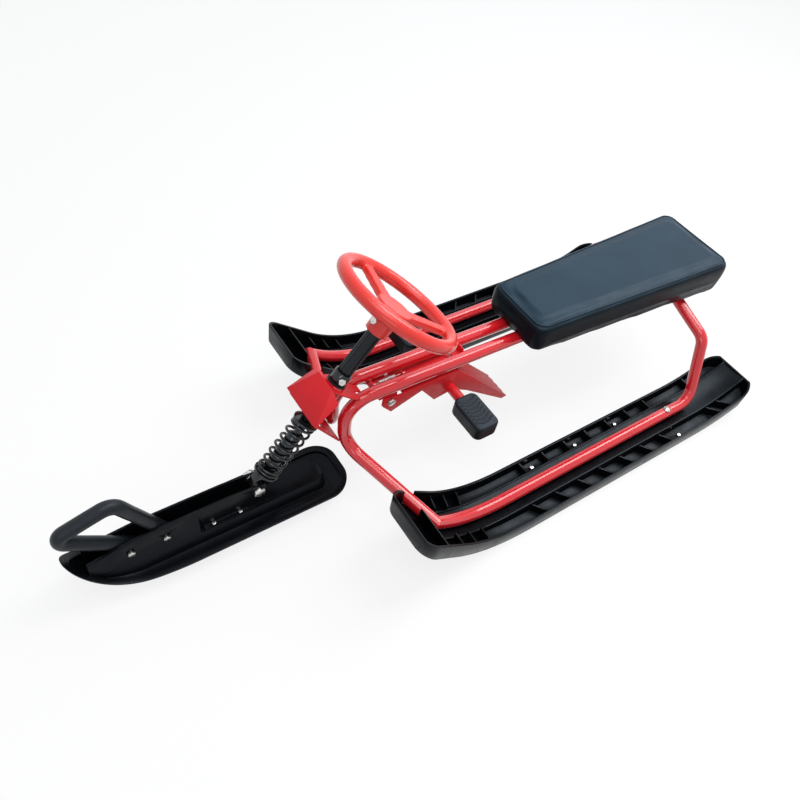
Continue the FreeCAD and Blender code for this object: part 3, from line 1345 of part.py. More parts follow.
def main():
    for name, make in (("front_leg", front_leg), ("top_tube", top_tube), ("rear_leg", rear_leg),
                       ("ski_rail", ski_rail), ("rear_ski", rear_ski)):
        shape = make()
        save("left_" + name, shape)
        save("right_" + name, mirrored(shape))
    save("ski_screws", ski_screws())
    save("rail_bolts", rail_bolts())
    save("rail_nuts", rail_nuts())
    save("seat_board", seat_board())
    save("seat_cushion", seat_cushion())
    save("seat_bolts", seat_bolts())
    save("cross_plate", cross_plate().removeSplitter())
    save("head_tube", head_tube())
    save("upper_head_bush", bush(HEAD_TUBE_HIGH, 1))
    save("lower_head_bush", bush(HEAD_TUBE_LOW, -1))
    save("head_shield", head_shield())
    save("crown_plate", crown_plate())
    save("gusset_plate", gusset_plate())
    save("steering_shaft", steering_shaft())
    save("column_collar", column_collar())
    save("collar_bolt", cross_bolt(COLLAR_BOLT_S, COLLAR_BOLT_AXIS, COLLAR_D))
    save("collar_nut", cross_nut(COLLAR_BOLT_S, COLLAR_BOLT_AXIS, COLLAR_D))
    save("column_sleeve", column_sleeve())
    save("wheel_boss", wheel_boss())
    save("wheel_bolt", cross_bolt(BOSS_BOLT_S, BOSS_BOLT_AXIS, BOSS_D))
    save("wheel_nut", cross_nut(BOSS_BOLT_S, BOSS_BOLT_AXIS, BOSS_D))
    save("steering_wheel", steering_wheel())
    save("upper_spring_seat", upper_spring_seat())
    save("coil_spring", coil_spring())
    save("strut_stem", strut_stem())
    save("lower_spring_seat", lower_spring_seat())
    save("ski_lug", ski_lug())
    save("front_ski", front_ski())
    cheek = cheek_plate()
    save("left_cheek_plate", cheek)
    save("right_cheek_plate", mirrored(cheek))
    save("cheek_screws", cheek_screws())
    save("ski_pivot_bolt", ski_pivot_bolt())
    save("ski_pivot_nut", ski_pivot_nut())
    save("ski_pivot_spacers", ski_pivot_spacers())
    save("front_loop", front_loop())
    save("loop_bolts", loop_bolts())
    save("loop_nuts", loop_nuts())
    save("brake_bracket", brake_bracket())
    save("brake_pin", brake_pin())
    save("brake_pin_nut", brake_pin_nut())
    save("brake_flap", brake_flap())
    save("pedal_bar", pedal_bar())
    grip = pedal()
    save("left_pedal", grip)
    save("right_pedal", mirrored(grip))
    save("pull_spring", pull_spring())


main()
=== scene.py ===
"""Looks of the steering sled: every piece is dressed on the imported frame, then set on a plain white stage."""

import json
import math
from typing import NamedTuple

import bmesh
import bpy
from bpy.props import FloatProperty, FloatVectorProperty, IntProperty, PointerProperty
from mathutils import Matrix, Vector, noise
from mathutils.bvhtree import BVHTree


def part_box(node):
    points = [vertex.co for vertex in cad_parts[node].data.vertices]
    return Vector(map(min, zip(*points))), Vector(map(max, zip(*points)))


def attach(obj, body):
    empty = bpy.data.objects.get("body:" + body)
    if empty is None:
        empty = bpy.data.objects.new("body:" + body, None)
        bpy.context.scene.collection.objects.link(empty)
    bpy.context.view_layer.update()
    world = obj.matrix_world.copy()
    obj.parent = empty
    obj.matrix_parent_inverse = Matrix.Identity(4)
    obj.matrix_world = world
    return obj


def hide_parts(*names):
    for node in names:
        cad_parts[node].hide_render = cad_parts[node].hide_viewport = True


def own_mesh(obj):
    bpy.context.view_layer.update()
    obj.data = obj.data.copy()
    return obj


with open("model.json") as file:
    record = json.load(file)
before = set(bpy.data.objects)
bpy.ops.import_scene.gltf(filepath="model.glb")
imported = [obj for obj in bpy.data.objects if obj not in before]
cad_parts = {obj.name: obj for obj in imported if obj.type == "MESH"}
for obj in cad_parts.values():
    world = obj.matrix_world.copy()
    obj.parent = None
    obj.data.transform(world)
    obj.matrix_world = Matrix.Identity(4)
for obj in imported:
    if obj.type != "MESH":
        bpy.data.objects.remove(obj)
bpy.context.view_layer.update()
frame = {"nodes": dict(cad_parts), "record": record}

bl_info = {
    "name": "Steering sled looks",
    "version": (1, 0, 0),
    "blender": (4, 5, 0),
    "location": "View3D > Sidebar > Sled",
    "description": "Dresses the packed sled with finishes, a stuffed seat and a studio stage",
    "category": "Object",
}

NODES = frame["nodes"]
BODY_OF = {node: body for body, members in frame["record"]["behaviour"]["bodies"].items() for node in members}
SLOT_OF = {part["node"]: part["material_slot"] for part in frame["record"]["subparts"]}


# Joining and shading of the copied meshes: metres, then degrees
JOIN_DISTANCE = 2e-6
FLAT_ANGLE = 0.4
ROUND_ANGLE = 38
SHARP_ANGLE = 32

# Rounds of smoothing that melt a piece, the pedals' finer grid and the length of the foam's waves
WHEEL_MELT = 8
PEDAL_MELT = 3
FOAM_MELT = 3
PEDAL_GRID_SHARE = 0.6
FOAM_PITCH = 0.03

# Seat: height of the cover that stays put, width of the front against the rear, and the seam's run
SEAT_HELD = 0.022
SEAT_FRONT_SHARE = 0.76
SEAM_CORNER = 0.018
SEAM_CORNER_PARTS = 8
SEAM_STEP = 0.006
SEAM_LIFT_SHARE = 0.1

# Highlights: roughness of the clear coat, and the cool tint of finishes darker than a limit
COAT_ROUGHNESS = 0.10
DARK_LIMIT = 0.05
COOL_TINT = (0.76, 0.88, 1.0, 1.0)

# Floor: half its side, its drop under the skis, its shade as paper and the share that is plain white
FLOOR_HALF = 12.0
FLOOR_DROP = 0.0006
FLOOR_ROUGHNESS = 0.9
FLOOR_PAPER = 0.60
FLOOR_WHITE_SHARE = 0.82
SKY_COLOUR = (0.93, 0.96, 1.0, 1)
WHITE = (1.0, 1.0, 1.0, 1)

# Camera: place in metres, then azimuth, elevation and roll in degrees
CAMERA_PLACE = (0.6203, 0.574, 1.069)
CAMERA_ANGLES = (136.74, 49.53, 12.70)
CAMERA_SENSOR = 36.0
CAMERA_CLIP = 0.01


def length(name, description, value):
    return FloatProperty(name=name, description=description, default=value, unit="LENGTH")


def power(name, description, value):
    return FloatProperty(name=name, description=description, default=value, unit="POWER")


def colour_of(name, description, value):
    return FloatVectorProperty(name=name, description=description, default=value, size=3, min=0.0, max=1.0,
                               subtype="COLOR")


class SledFinish(bpy.types.PropertyGroup):
    edge: length("Sheet edge", "Rounding of sheet metal edges", 0.0005)
    mould_edge: length("Moulded edge", "Rounding of moulded plastic edges", 0.0008)
    mould_voxel: length("Mould grid", "Grid that blends moulded pieces", 0.0017)
    foam_voxel: length("Foam grid", "Grid of the foam sleeve", 0.002)
    foam_swell: length("Foam swell", "Height of the soft waves in the foam", 0.0003)


class SledColours(bpy.types.PropertyGroup):
    red_paint: colour_of("Tube red", "Gloss paint of the frame tubes", (0.74, 0.013, 0.022))
    red_plate: colour_of("Plate red", "Satin paint of the sheet plates", (0.74, 0.016, 0.024))
    red_plastic: colour_of("Wheel red", "Moulded wheel and boss", (0.86, 0.034, 0.024))
    black_ski: colour_of("Ski black", "Moulded skis and cheek plates", (0.0032, 0.0038, 0.0050))
    black_steel: colour_of("Steel black", "Coated shaft, strut and spring", (0.0035, 0.0036, 0.004))
    black_sleeve: colour_of("Sleeve black", "Ribbed sleeve of the column", (0.0035, 0.0035, 0.004))
    # Foam, pedals and seat are bluish blacks. Their blue tint is partly their own colour and partly a painted
    # cool sheen, which the painted top light lifts on their tops.
    foam: colour_of("Foam grey", "Foam sleeve of the front loop", (0.0070, 0.0078, 0.0092))
    pedal_rubber: colour_of("Pedal black", "Ribbed rubber of the pedals", (0.0060, 0.0075, 0.0095))
    seat_vinyl: colour_of("Seat slate", "Coated cloth of the cushion", (0.0038, 0.0070, 0.0102))
    board_wood: colour_of("Board wood", "Board under the cushion", (0.42, 0.28, 0.15))
    bush_plastic: colour_of("Bush black", "Bearing bushes of the head", (0.008, 0.008, 0.0085))
    zinc: colour_of("Zinc", "Plated bolts, nuts, screws and return spring", (0.60, 0.60, 0.585))


class SledSeat(bpy.types.PropertyGroup):
    voxel: length("Grid", "Grid of the cushion's cloth", 0.0042)
    pressure: FloatProperty(name="Pressure", description="Stuffing pressure under the cover", default=4.0)
    frames: IntProperty(name="Frames", description="Length of the cloth simulation", default=20)
    reach: length("Reach", "Largest move of the cover", 0.004)
    seam_inset: length("Seam inset", "Seam's distance from the side of the seat", 0.0075)
    seam_radius: length("Seam radius", "Radius of the top seam's welt", 0.0016)


class SledStage(bpy.types.PropertyGroup):
    key: power("Key light", "Soft box that draws highlights along the tubes", 46.0)
    top: power("Top light", "Overhead soft box", 16.0)
    sheen: power("Sheen light", "Cool soft box behind the seat", 10.0)
    fill: power("Fill light", "Soft box at the front", 6.0)
    sky: FloatProperty(name="Sky", description="Strength of the even surrounding light", default=0.35)
    lens: FloatProperty(name="Lens", description="Focal length in millimetres", default=32.69)


def new_group(name, inputs, outputs):
    """Empty shader node group with its sockets; returns the tree and its two end nodes."""
    tree = bpy.data.node_groups.new(name, "ShaderNodeTree")
    for kind, label, value in inputs:
        socket = tree.interface.new_socket(label, in_out="INPUT", socket_type=kind)
        socket.default_value = value
    for kind, label in outputs:
        tree.interface.new_socket(label, in_out="OUTPUT", socket_type=kind)
    return tree, tree.nodes.new("NodeGroupInput"), tree.nodes.new("NodeGroupOutput")


def add(tree, kind, **values):
    """New node with its plain attributes set."""
    node = tree.nodes.new(kind)
    for key, value in values.items():
        setattr(node, key, value)
    return node


def noise_node(tree, where, scale, detail=3.0, rough=0.5):
    """Noise at a place in the piece."""
    node = add(tree, "ShaderNodeTexNoise")
    node.inputs["Detail"].default_value = detail
    node.inputs["Roughness"].default_value = rough
    node.inputs["Scale"].default_value = scale
    tree.links.new(where, node.inputs["Vector"])
    return node


def spread(tree, value, low, high, out_low, out_high):
    """Map a value from one range to another."""
    node = add(tree, "ShaderNodeMapRange")
    tree.links.new(value, node.inputs["Value"])
    for label, number in (("From Min", low), ("From Max", high), ("To Min", out_low), ("To Max", out_high)):
        if isinstance(number, (int, float)):
            node.inputs[label].default_value = number
        else:
            tree.links.new(number, node.inputs[label])
    return node.outputs["Result"]


def shaded(tree, colour, share, amount):
    """Colour made darker or lighter by a share around one half."""
    node = add(tree, "ShaderNodeHueSaturation")
    tree.links.new(colour, node.inputs["Color"])
    low = add(tree, "ShaderNodeMath", operation="SUBTRACT")
    low.inputs[0].default_value = 1.0
    tree.links.new(amount, low.inputs[1])
    high = add(tree, "ShaderNodeMath", operation="ADD")
    high.inputs[0].default_value = 1.0
    tree.links.new(amount, high.inputs[1])
    tree.links.new(spread(tree, share, 0.3, 0.7, low.outputs[0], high.outputs[0]), node.inputs["Value"])
    return node.outputs["Color"]


COMMON_IN = (("NodeSocketColor", "Color", (0.5, 0.5, 0.5, 1)), ("NodeSocketFloat", "Shade", 0.05),
             ("NodeSocketFloat", "Rough Low", 0.3), ("NodeSocketFloat", "Rough High", 0.4),
             # The last input is a painted top light: how much lighter faces that look up are painted, for light
             # falling from above.
             ("NodeSocketFloat", "Top Fade", 0.0))
COMMON_OUT = (("NodeSocketColor", "Color"), ("NodeSocketFloat", "Roughness"),
              ("NodeSocketFloat", "Height"))


def start_group(name):
    """Group of one finish, with the place on the piece that its patterns start from."""
    tree, inner, outer = new_group(name, COMMON_IN, COMMON_OUT)
    where = add(tree, "ShaderNodeTexCoord").outputs["Object"]
    return tree, inner, outer, where


def paint_top_light(tree, colour, amount):
    """Colour made lighter where the face looks up: painted top light, standing in for the light that falls from
    above.
    """
    side = add(tree, "ShaderNodeSeparateXYZ")
    tree.links.new(add(tree, "ShaderNodeNewGeometry").outputs["Normal"], side.inputs["Vector"])
    node = add(tree, "ShaderNodeHueSaturation")
    full = add(tree, "ShaderNodeMath", operation="ADD")
    full.inputs[0].default_value = 1.0
    tree.links.new(amount, full.inputs[1])
    tree.links.new(spread(tree, side.outputs["Z"], 0.55, 0.95, 1.0, full.outputs[0]), node.inputs["Value"])
    tree.links.new(colour, node.inputs["Color"])
    return node.outputs["Color"]


def close_group(tree, inner, outer, share, rough_share, height):
    """Lead the patterns of a finish, and its painted top light, to the group's outputs."""
    colour = shaded(tree, inner.outputs["Color"], share, inner.outputs["Shade"])
    # Painted top light: faces that look up are painted lighter than their sides.
    colour = paint_top_light(tree, colour, inner.outputs["Top Fade"])
    tree.links.new(colour, outer.inputs["Color"])
    rough = spread(tree, rough_share, 0.35, 0.65, inner.outputs["Rough Low"], inner.outputs["Rough High"])
    tree.links.new(rough, outer.inputs["Roughness"])
    tree.links.new(height, outer.inputs["Height"])
    return tree


def paint_group():
    """Powder coat: broad shade drift, orange peel and faint dust in the roughness."""
    tree, inner, outer, where = start_group("sled_paint")
    drift = noise_node(tree, where, 9.0, 2.0)
    dust = noise_node(tree, where, 160.0, 5.0, 0.65)
    peel = noise_node(tree, where, 620.0, 2.0)
    return close_group(tree, inner, outer, drift.outputs["Fac"], dust.outputs["Fac"], peel.outputs["Fac"])


def moulded_group():
    """Moulded plastic: spark-eroded grain, flow marks and rubbed patches."""
    tree, inner, outer, where = start_group("sled_moulded")
    flow = add(tree, "ShaderNodeMapping")
    flow.inputs["Scale"].default_value = (5.0, 22.0, 30.0)
    tree.links.new(where, flow.inputs["Vector"])
    marks = noise_node(tree, flow.outputs["Vector"], 1.6, 4.0, 0.6)
    rubbed = noise_node(tree, where, 34.0, 6.0, 0.7)
    grain = noise_node(tree, where, 1400.0, 2.0)
    return close_group(tree, inner, outer, marks.outputs["Fac"], rubbed.outputs["Fac"], grain.outputs["Fac"])


def vinyl_group():
    """Coated cloth: small pebbles in the height and a slow drift in shade."""
    tree, inner, outer, where = start_group("sled_vinyl")
    bend = noise_node(tree, where, 300.0, 2.0)
    mixed = add(tree, "ShaderNodeVectorMath", operation="MULTIPLY_ADD")
    tree.links.new(bend.outputs["Color"], mixed.inputs[0])
    mixed.inputs[1].default_value = (0.0012, 0.0012, 0.0012)
    tree.links.new(where, mixed.inputs[2])
    cells = add(tree, "ShaderNodeTexVoronoi", feature="DISTANCE_TO_EDGE")
    cells.inputs["Scale"].default_value = 620.0
    tree.links.new(mixed.outputs["Vector"], cells.inputs["Vector"])
    pebble = spread(tree, cells.outputs["Distance"], 0.0, 0.25, 0.0, 1.0)
    drift = noise_node(tree, where, 14.0, 3.0)
    worn = noise_node(tree, where, 55.0, 5.0, 0.6)
    return close_group(tree, inner, outer, drift.outputs["Fac"], worn.outputs["Fac"], pebble)


def foam_group():
    """Closed-cell foam: fine pits and a mottled shade."""
    tree, inner, outer, where = start_group("sled_foam")
    cells = add(tree, "ShaderNodeTexVoronoi")
    cells.inputs["Scale"].default_value = 1150.0
    tree.links.new(where, cells.inputs["Vector"])
    mottle = noise_node(tree, where, 240.0, 4.0, 0.6)
    worn = noise_node(tree, where, 30.0, 3.0)
    pits = cells.outputs["Distance"]
    return close_group(tree, inner, outer, mottle.outputs["Fac"], worn.outputs["Fac"], pits)


def zinc_group():
    """Plated steel: spangles in the shade, dull patches and fine marks in the height."""
    tree, inner, outer, where = start_group("sled_zinc")
    cells = add(tree, "ShaderNodeTexVoronoi")
    cells.inputs["Scale"].default_value = 520.0
    tree.links.new(where, cells.inputs["Vector"])
    spangle = add(tree, "ShaderNodeSeparateColor")
    tree.links.new(cells.outputs["Color"], spangle.inputs["Color"])
    dull = noise_node(tree, where, 210.0, 5.0, 0.6)
    lines = noise_node(tree, where, 1900.0, 2.0)
    return close_group(tree, inner, outer, spangle.outputs["Red"], dull.outputs["Fac"], lines.outputs["Fac"])


def wood_group():
    """Board: long wavy grain."""
    tree, inner, outer, where = start_group("sled_wood")
    stretch = add(tree, "ShaderNodeMapping")
    stretch.inputs["Scale"].default_value = (3.0, 60.0, 60.0)
    tree.links.new(where, stretch.inputs["Vector"])
    grain = noise_node(tree, stretch.outputs["Vector"], 2.0, 8.0, 0.65)
    pores = noise_node(tree, stretch.outputs["Vector"], 9.0, 3.0)
    return close_group(tree, inner, outer, grain.outputs["Fac"], pores.outputs["Fac"], pores.outputs["Fac"])


GROUPS = {"paint": paint_group, "moulded": moulded_group, "vinyl": vinyl_group, "foam": foam_group,
          "zinc": zinc_group, "wood": wood_group}


class Finish(NamedTuple):
    """What sets one finish apart; its colour is a setting of the same name."""

    group: str
    shade: float
    rough: tuple
    specular: float
    bump_depth: float
    coat: float = 0.0
    metallic: float = 0.0
    # Painted top light: how much lighter up-facing faces are painted, for light falling from above.
    fade: float = 0.0


FINISHES = {
    "red_paint": Finish("paint", 0.06, (0.16, 0.26), 0.22, 0.000002, coat=0.9),
    "red_plate": Finish("paint", 0.06, (0.42, 0.54), 0.35, 0.000006),
    "red_plastic": Finish("paint", 0.05, (0.26, 0.36), 0.40, 0.000004, coat=0.3),
    "black_ski": Finish("moulded", 0.16, (0.22, 0.34), 0.13, 0.000004),
    "black_steel": Finish("paint", 0.10, (0.16, 0.26), 0.35, 0.000003, coat=0.4),
    "black_sleeve": Finish("moulded", 0.12, (0.24, 0.36), 0.30, 0.000005, coat=0.1),
    # Foam, pedals and seat have a painted top light: faces that look up are painted lighter than their sides.
    "foam": Finish("foam", 0.20, (0.34, 0.46), 0.30, 0.00001, fade=0.8),
    "pedal_rubber": Finish("moulded", 0.16, (0.34, 0.50), 0.20, 0.000012, fade=3.0),
    "seat_vinyl": Finish("vinyl", 0.08, (0.28, 0.40), 0.09, 0.00003, fade=6.0),
    "board_wood": Finish("wood", 0.25, (0.55, 0.75), 0.40, 0.00005),
    "bush_plastic": Finish("moulded", 0.10, (0.38, 0.50), 0.30, 0.00001),
    "zinc": Finish("zinc", 0.14, (0.22, 0.36), 0.50, 0.000003, metallic=1.0),
}


def material(finish):
    """Principled material of one finish, made once."""
    name = "finish_" + finish
    if name in bpy.data.materials:
        return bpy.data.materials[name]
    look = FINISHES[finish]
    colour = tuple(getattr(bpy.context.scene.sled_colours, finish))
    group = bpy.data.node_groups.get("sled_" + look.group) or GROUPS[look.group]()
    mat = bpy.data.materials.new(name)
    mat.use_nodes = True
    mat.diffuse_color = (*colour, 1.0)
    tree = mat.node_tree
    shader = tree.nodes["Principled BSDF"]
    face = add(tree, "ShaderNodeGroup", node_tree=group)
    face.inputs["Color"].default_value = (*colour, 1.0)
    face.inputs["Shade"].default_value = look.shade
    face.inputs["Rough Low"].default_value, face.inputs["Rough High"].default_value = look.rough
    # Share of painted top light on faces that look up.
    face.inputs["Top Fade"].default_value = look.fade
    bump = add(tree, "ShaderNodeBump")
    bump.inputs["Strength"].default_value = 1.0
    bump.inputs["Distance"].default_value = look.bump_depth
    tree.links.new(face.outputs["Color"], shader.inputs["Base Color"])
    tree.links.new(face.outputs["Roughness"], shader.inputs["Roughness"])
    tree.links.new(face.outputs["Height"], bump.inputs["Height"])
    tree.links.new(bump.outputs["Normal"], shader.inputs["Normal"])
    shader.inputs["Metallic"].default_value = look.metallic
    shader.inputs["Specular IOR Level"].default_value = look.specular
    if max(colour) < DARK_LIMIT:
        shader.inputs["Specular Tint"].default_value = COOL_TINT
    shader.inputs["Coat Weight"].default_value = look.coat
    shader.inputs["Coat Roughness"].default_value = COAT_ROUGHNESS
    return mat


def place(obj, node, finish=None):
    """Put a finished object in the scene in place of a CAD node."""
    slot = SLOT_OF[node]
    obj.data.materials.clear()
    obj.data.materials.append(material(finish or slot))
    if obj.name not in bpy.context.scene.collection.objects:
        bpy.context.scene.collection.objects.link(obj)
    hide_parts(node)
    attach(obj, BODY_OF[node])
    return obj


def node_mesh(node):
    """Copy of a CAD node's mesh with its split corners joined."""
    if node not in NODES:
        raise RuntimeError("the packed frame has no node named " + node)
    mesh = bmesh.new()
    mesh.from_mesh(NODES[node].data)
    bmesh.ops.remove_doubles(mesh, verts=mesh.verts, dist=JOIN_DISTANCE)
    return mesh


def to_object(mesh, name):
    """Object of a mesh that is done with."""
    data = bpy.data.meshes.new(name)
    mesh.to_mesh(data)
    mesh.free()
    return bpy.data.objects.new(name, data)


def smooth_by_angle(obj):
    """Smooth shading with edges kept sharp above an angle."""
    mesh = bmesh.new()
    mesh.from_mesh(obj.data)
    limit = math.radians(SHARP_ANGLE)
    for face in mesh.faces:
        face.smooth = True
    for edge in mesh.edges:
        edge.smooth = len(edge.link_faces) == 2 and edge.calc_face_angle(math.pi) < limit
    mesh.to_mesh(obj.data)
    mesh.free()


def edged(node, radius, finish=None):
    """Copy of a CAD node with its sharp edges rounded."""
    mesh = node_mesh(node)
    bmesh.ops.dissolve_limit(mesh, angle_limit=math.radians(FLAT_ANGLE), verts=mesh.verts, edges=mesh.edges)
    limit = math.radians(ROUND_ANGLE)
    sharp = [e for e in mesh.edges if len(e.link_faces) == 2 and e.calc_face_angle(0.0) > limit]
    if sharp and radius > 0:
        bmesh.ops.bevel(mesh, geom=sharp, offset=radius, offset_type="OFFSET", segments=2, profile=0.5,
                        affect="EDGES", clamp_overlap=True, harden_normals=False)
    bmesh.ops.triangulate(mesh, faces=[f for f in mesh.faces if len(f.verts) > 4])
    obj = to_object(mesh, "look_" + node)
    smooth_by_angle(obj)
    return place(obj, node, finish)


def polished(node):
    """Copy of a CAD node that keeps the true normals of its curved faces."""
    normals = [Vector(corner.vector) for corner in NODES[node].data.corner_normals]
    obj = to_object(node_mesh(node), "look_" + node)
    if len(obj.data.loops) == len(normals):
        for face in obj.data.polygons:
            face.use_smooth = True
        obj.data.normals_split_custom_set(normals)
    else:
        smooth_by_angle(obj)
    return place(obj, node)


def apply_modifiers(obj):
    """Replace an object's mesh by its evaluated form."""
    graph = bpy.context.evaluated_depsgraph_get()
    data = bpy.data.meshes.new_from_object(obj.evaluated_get(graph))
    obj.modifiers.clear()
    obj.data = data


def blended(node, voxel, rounds, swell=0.0):
    """Copy of a CAD node melted into one moulded or foamed skin."""
    obj = to_object(node_mesh(node), "look_" + node)
    bpy.context.scene.collection.objects.link(obj)
    grid = obj.modifiers.new("grid", "REMESH")
    grid.mode = "VOXEL"
    grid.voxel_size = voxel
    melt = obj.modifiers.new("melt", "SMOOTH")
    melt.factor = 0.5
    melt.iterations = rounds
    bpy.context.view_layer.update()
    apply_modifiers(obj)
    if swell:
        mesh = obj.data
        normals = [v.normal.copy() for v in mesh.vertices]
        for vertex, normal in zip(mesh.vertices, normals):
            vertex.co += normal * (swell * noise.noise(vertex.co / FOAM_PITCH))
    for face in obj.data.polygons:
        face.use_smooth = True
    return place(obj, node)


def sweep(points, radius, name, sides=8):
    """Closed round welt through a ring of points."""
    mesh = bmesh.new()
    count = len(points)
    rings = []
    for index in range(count):
        along = (points[(index + 1) % count] - points[index - 1]).normalized()
        side = along.cross(Vector((0, 0, 1))).normalized()
        up = side.cross(along)
        rings.append([mesh.verts.new(points[index] + (side * math.cos(a) + up * math.sin(a)) * radius)
                      for a in (2 * math.pi * k / sides for k in range(sides))])
    for index in range(count):
        low = rings[index]
        high = rings[(index + 1) % count]
        for k in range(sides):
            mesh.faces.new((low[k], low[(k + 1) % sides], high[(k + 1) % sides], high[k]))
    bmesh.ops.recalc_face_normals(mesh, faces=mesh.faces)
    obj = to_object(mesh, name)
    for face in obj.data.polygons:
        face.use_smooth = True
    return obj


def stuffed_seat(settings):
    """Cushion cover blown up gently over its foam."""
    obj = to_object(node_mesh("seat_cushion"), "look_seat_cushion")
    bpy.context.scene.collection.objects.link(obj)
    grid = obj.modifiers.new("grid", "REMESH")
    grid.mode = "VOXEL"
    grid.voxel_size = settings.voxel
    bpy.context.view_layer.update()
    apply_modifiers(obj)
    start = [v.co.copy() for v in obj.data.vertices]
    outward = [v.normal.copy() for v in obj.data.vertices]
    low = min(c.z for c in start)
    held = obj.vertex_groups.new(name="held")
    held.add([i for i, c in enumerate(start) if c.z < low + SEAT_HELD], 1.0, "REPLACE")
    cloth = obj.modifiers.new("cover", "CLOTH")
    cloth.settings.use_pressure = True
    cloth.settings.uniform_pressure_force = settings.pressure
    cloth.settings.effector_weights.gravity = 0.0
    cloth.settings.vertex_group_mass = "held"
    cloth.settings.quality = 5
    cloth.point_cache.frame_start = 1
    cloth.point_cache.frame_end = settings.frames
    scene = bpy.context.scene
    for number in range(1, settings.frames + 1):
        scene.frame_set(number)
    apply_modifiers(obj)
    scene.frame_set(1)
    for vertex, begun, normal in zip(obj.data.vertices, start, outward):
        swell = (vertex.co - begun).dot(normal)
        vertex.co = begun + normal * max(0.0, min(swell, settings.reach))
    soften = obj.modifiers.new("soften", "SMOOTH")
    soften.factor = 0.5
    soften.iterations = 3
    fine = obj.modifiers.new("fine", "SUBSURF")
    fine.levels = 1
    fine.render_levels = 1
    bpy.context.view_layer.update()
    apply_modifiers(obj)
    for face in obj.data.polygons:
        face.use_smooth = True
    place(obj, "seat_cushion")
    return obj


def seat_ring(inset, corner, step):
    """Points round the seat in plan, inside its box by an inset, narrower at the front."""
    low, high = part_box("seat_cushion")
    front_half = high[1] * SEAT_FRONT_SHARE
    rear, front = low[0] + inset, high[0] - inset
    wide, slim = high[1] - inset, front_half - inset
    plan = ((rear, -wide), (front, -slim), (front, slim), (rear, wide))
    corners = [Vector((x, y, 0)) for x, y in plan]
    ring = []
    for index in range(4):
        here = corners[index]
        into = (here - corners[index - 1]).normalized()
        out = (corners[(index + 1) % 4] - here).normalized()
        turn = into.angle(out)
        reach = corner * math.tan(turn / 2)
        centre = here - into * reach + Vector((-into.y, into.x, 0)) * corner
        first = here - into * reach - centre
        for k in range(SEAM_CORNER_PARTS + 1):
            ring.append(centre + Matrix.Rotation(turn * k / SEAM_CORNER_PARTS, 3, "Z") @ first)
        ahead = corners[(index + 1) % 4]
        after = (corners[(index + 2) % 4] - ahead).normalized()
        stop = ahead - out * (corner * math.tan(out.angle(after) / 2))
        begin = ring[-1].copy()
        parts = max(2, int((stop - begin).length / step))
        ring.extend(begin.lerp(stop, k / parts) for k in range(1, parts))
    return ring


def seat_seam(cushion, settings):
    """Welt that runs round the top panel, laid on the stuffed cover."""
    tree = BVHTree.FromObject(cushion, bpy.context.evaluated_depsgraph_get())
    path = []
    for point in seat_ring(settings.seam_inset, SEAM_CORNER, SEAM_STEP):
        hit, normal, _, _ = tree.ray_cast(Vector((point.x, point.y, 1.0)), Vector((0, 0, -1)))
        if hit is None:
            raise RuntimeError("the seat's seam runs off the cushion")
        path.append(hit + normal * (settings.seam_radius * SEAM_LIFT_SHARE))
    obj = sweep(path, settings.seam_radius, "look_seat_seam")
    obj.data.materials.append(material("seat_vinyl"))
    bpy.context.scene.collection.objects.link(obj)
    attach(obj, BODY_OF["seat_cushion"])


class Dress:
    """What every dressing operator shares."""

    bl_options = {"REGISTER", "UNDO"}

    def dress(self, nodes, radius, finish=None):
        for node in nodes:
            edged(node, radius, finish)


class SLED_OT_frame_tubes(Dress, bpy.types.Operator):
    """Paint the bent tubes of both side loops"""

    bl_idname = "sled.frame_tubes"
    bl_label = "Frame tubes"

    def execute(self, context):
        names = ("front_leg", "top_tube", "rear_leg", "ski_rail")
        for side in ("left", "right"):
            for name in names:
                polished(side + "_" + name)
        return {"FINISHED"}


class SLED_OT_head(Dress, bpy.types.Operator):
    """Paint the head tube and its plates"""

    bl_idname = "sled.head"
    bl_label = "Head"

    def execute(self, context):
        edge = context.scene.sled_finish.edge
        plates = ("head_shield", "crown_plate", "gusset_plate", "cross_plate", "brake_bracket")
        self.dress(plates, edge, "red_plate")
        self.dress(("head_tube", "upper_head_bush", "lower_head_bush"), edge)
        return {"FINISHED"}


class SLED_OT_seat(Dress, bpy.types.Operator):
    """Stuff the cushion, sew its top seam and finish the board"""

    bl_idname = "sled.seat"
    bl_label = "Seat"

    def execute(self, context):
        settings = context.scene.sled_seat
        seat_seam(stuffed_seat(settings), settings)
        self.dress(("seat_board",), context.scene.sled_finish.edge)
        return {"FINISHED"}


class SLED_OT_rear_skis(Dress, bpy.types.Operator):
    """Finish the moulded rear skis"""

    bl_idname = "sled.rear_skis"
    bl_label = "Rear skis"

    def execute(self, context):
        self.dress(("left_rear_ski", "right_rear_ski"), context.scene.sled_finish.mould_edge)
        return {"FINISHED"}


class SLED_OT_steering(Dress, bpy.types.Operator):
    """Mould the wheel and boss, finish the column"""

    bl_idname = "sled.steering"
    bl_label = "Steering"

    def execute(self, context):
        finish = context.scene.sled_finish
        blended("steering_wheel", finish.mould_voxel, WHEEL_MELT)
        self.dress(("wheel_boss", "column_sleeve", "column_collar", "steering_shaft"), finish.edge)
        return {"FINISHED"}


class SLED_OT_strut(Dress, bpy.types.Operator):
    """Finish the strut and give its spring a mesh of its own"""

    bl_idname = "sled.strut"
    bl_label = "Strut"

    def execute(self, context):
        names = ("upper_spring_seat", "lower_spring_seat", "strut_stem", "ski_lug")
        self.dress(names, context.scene.sled_finish.edge)
        spring = polished("coil_spring")
        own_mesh(spring)
        return {"FINISHED"}


class SLED_OT_front_ski(Dress, bpy.types.Operator):
    """Finish the front ski, its cheek plates and the foam-covered loop"""

    bl_idname = "sled.front_ski"
    bl_label = "Front ski"

    def execute(self, context):
        finish = context.scene.sled_finish
        self.dress(("front_ski", "left_cheek_plate", "right_cheek_plate"), finish.mould_edge, "black_ski")
        loop = blended("front_loop", finish.foam_voxel, FOAM_MELT, finish.foam_swell)
        return {"FINISHED"}


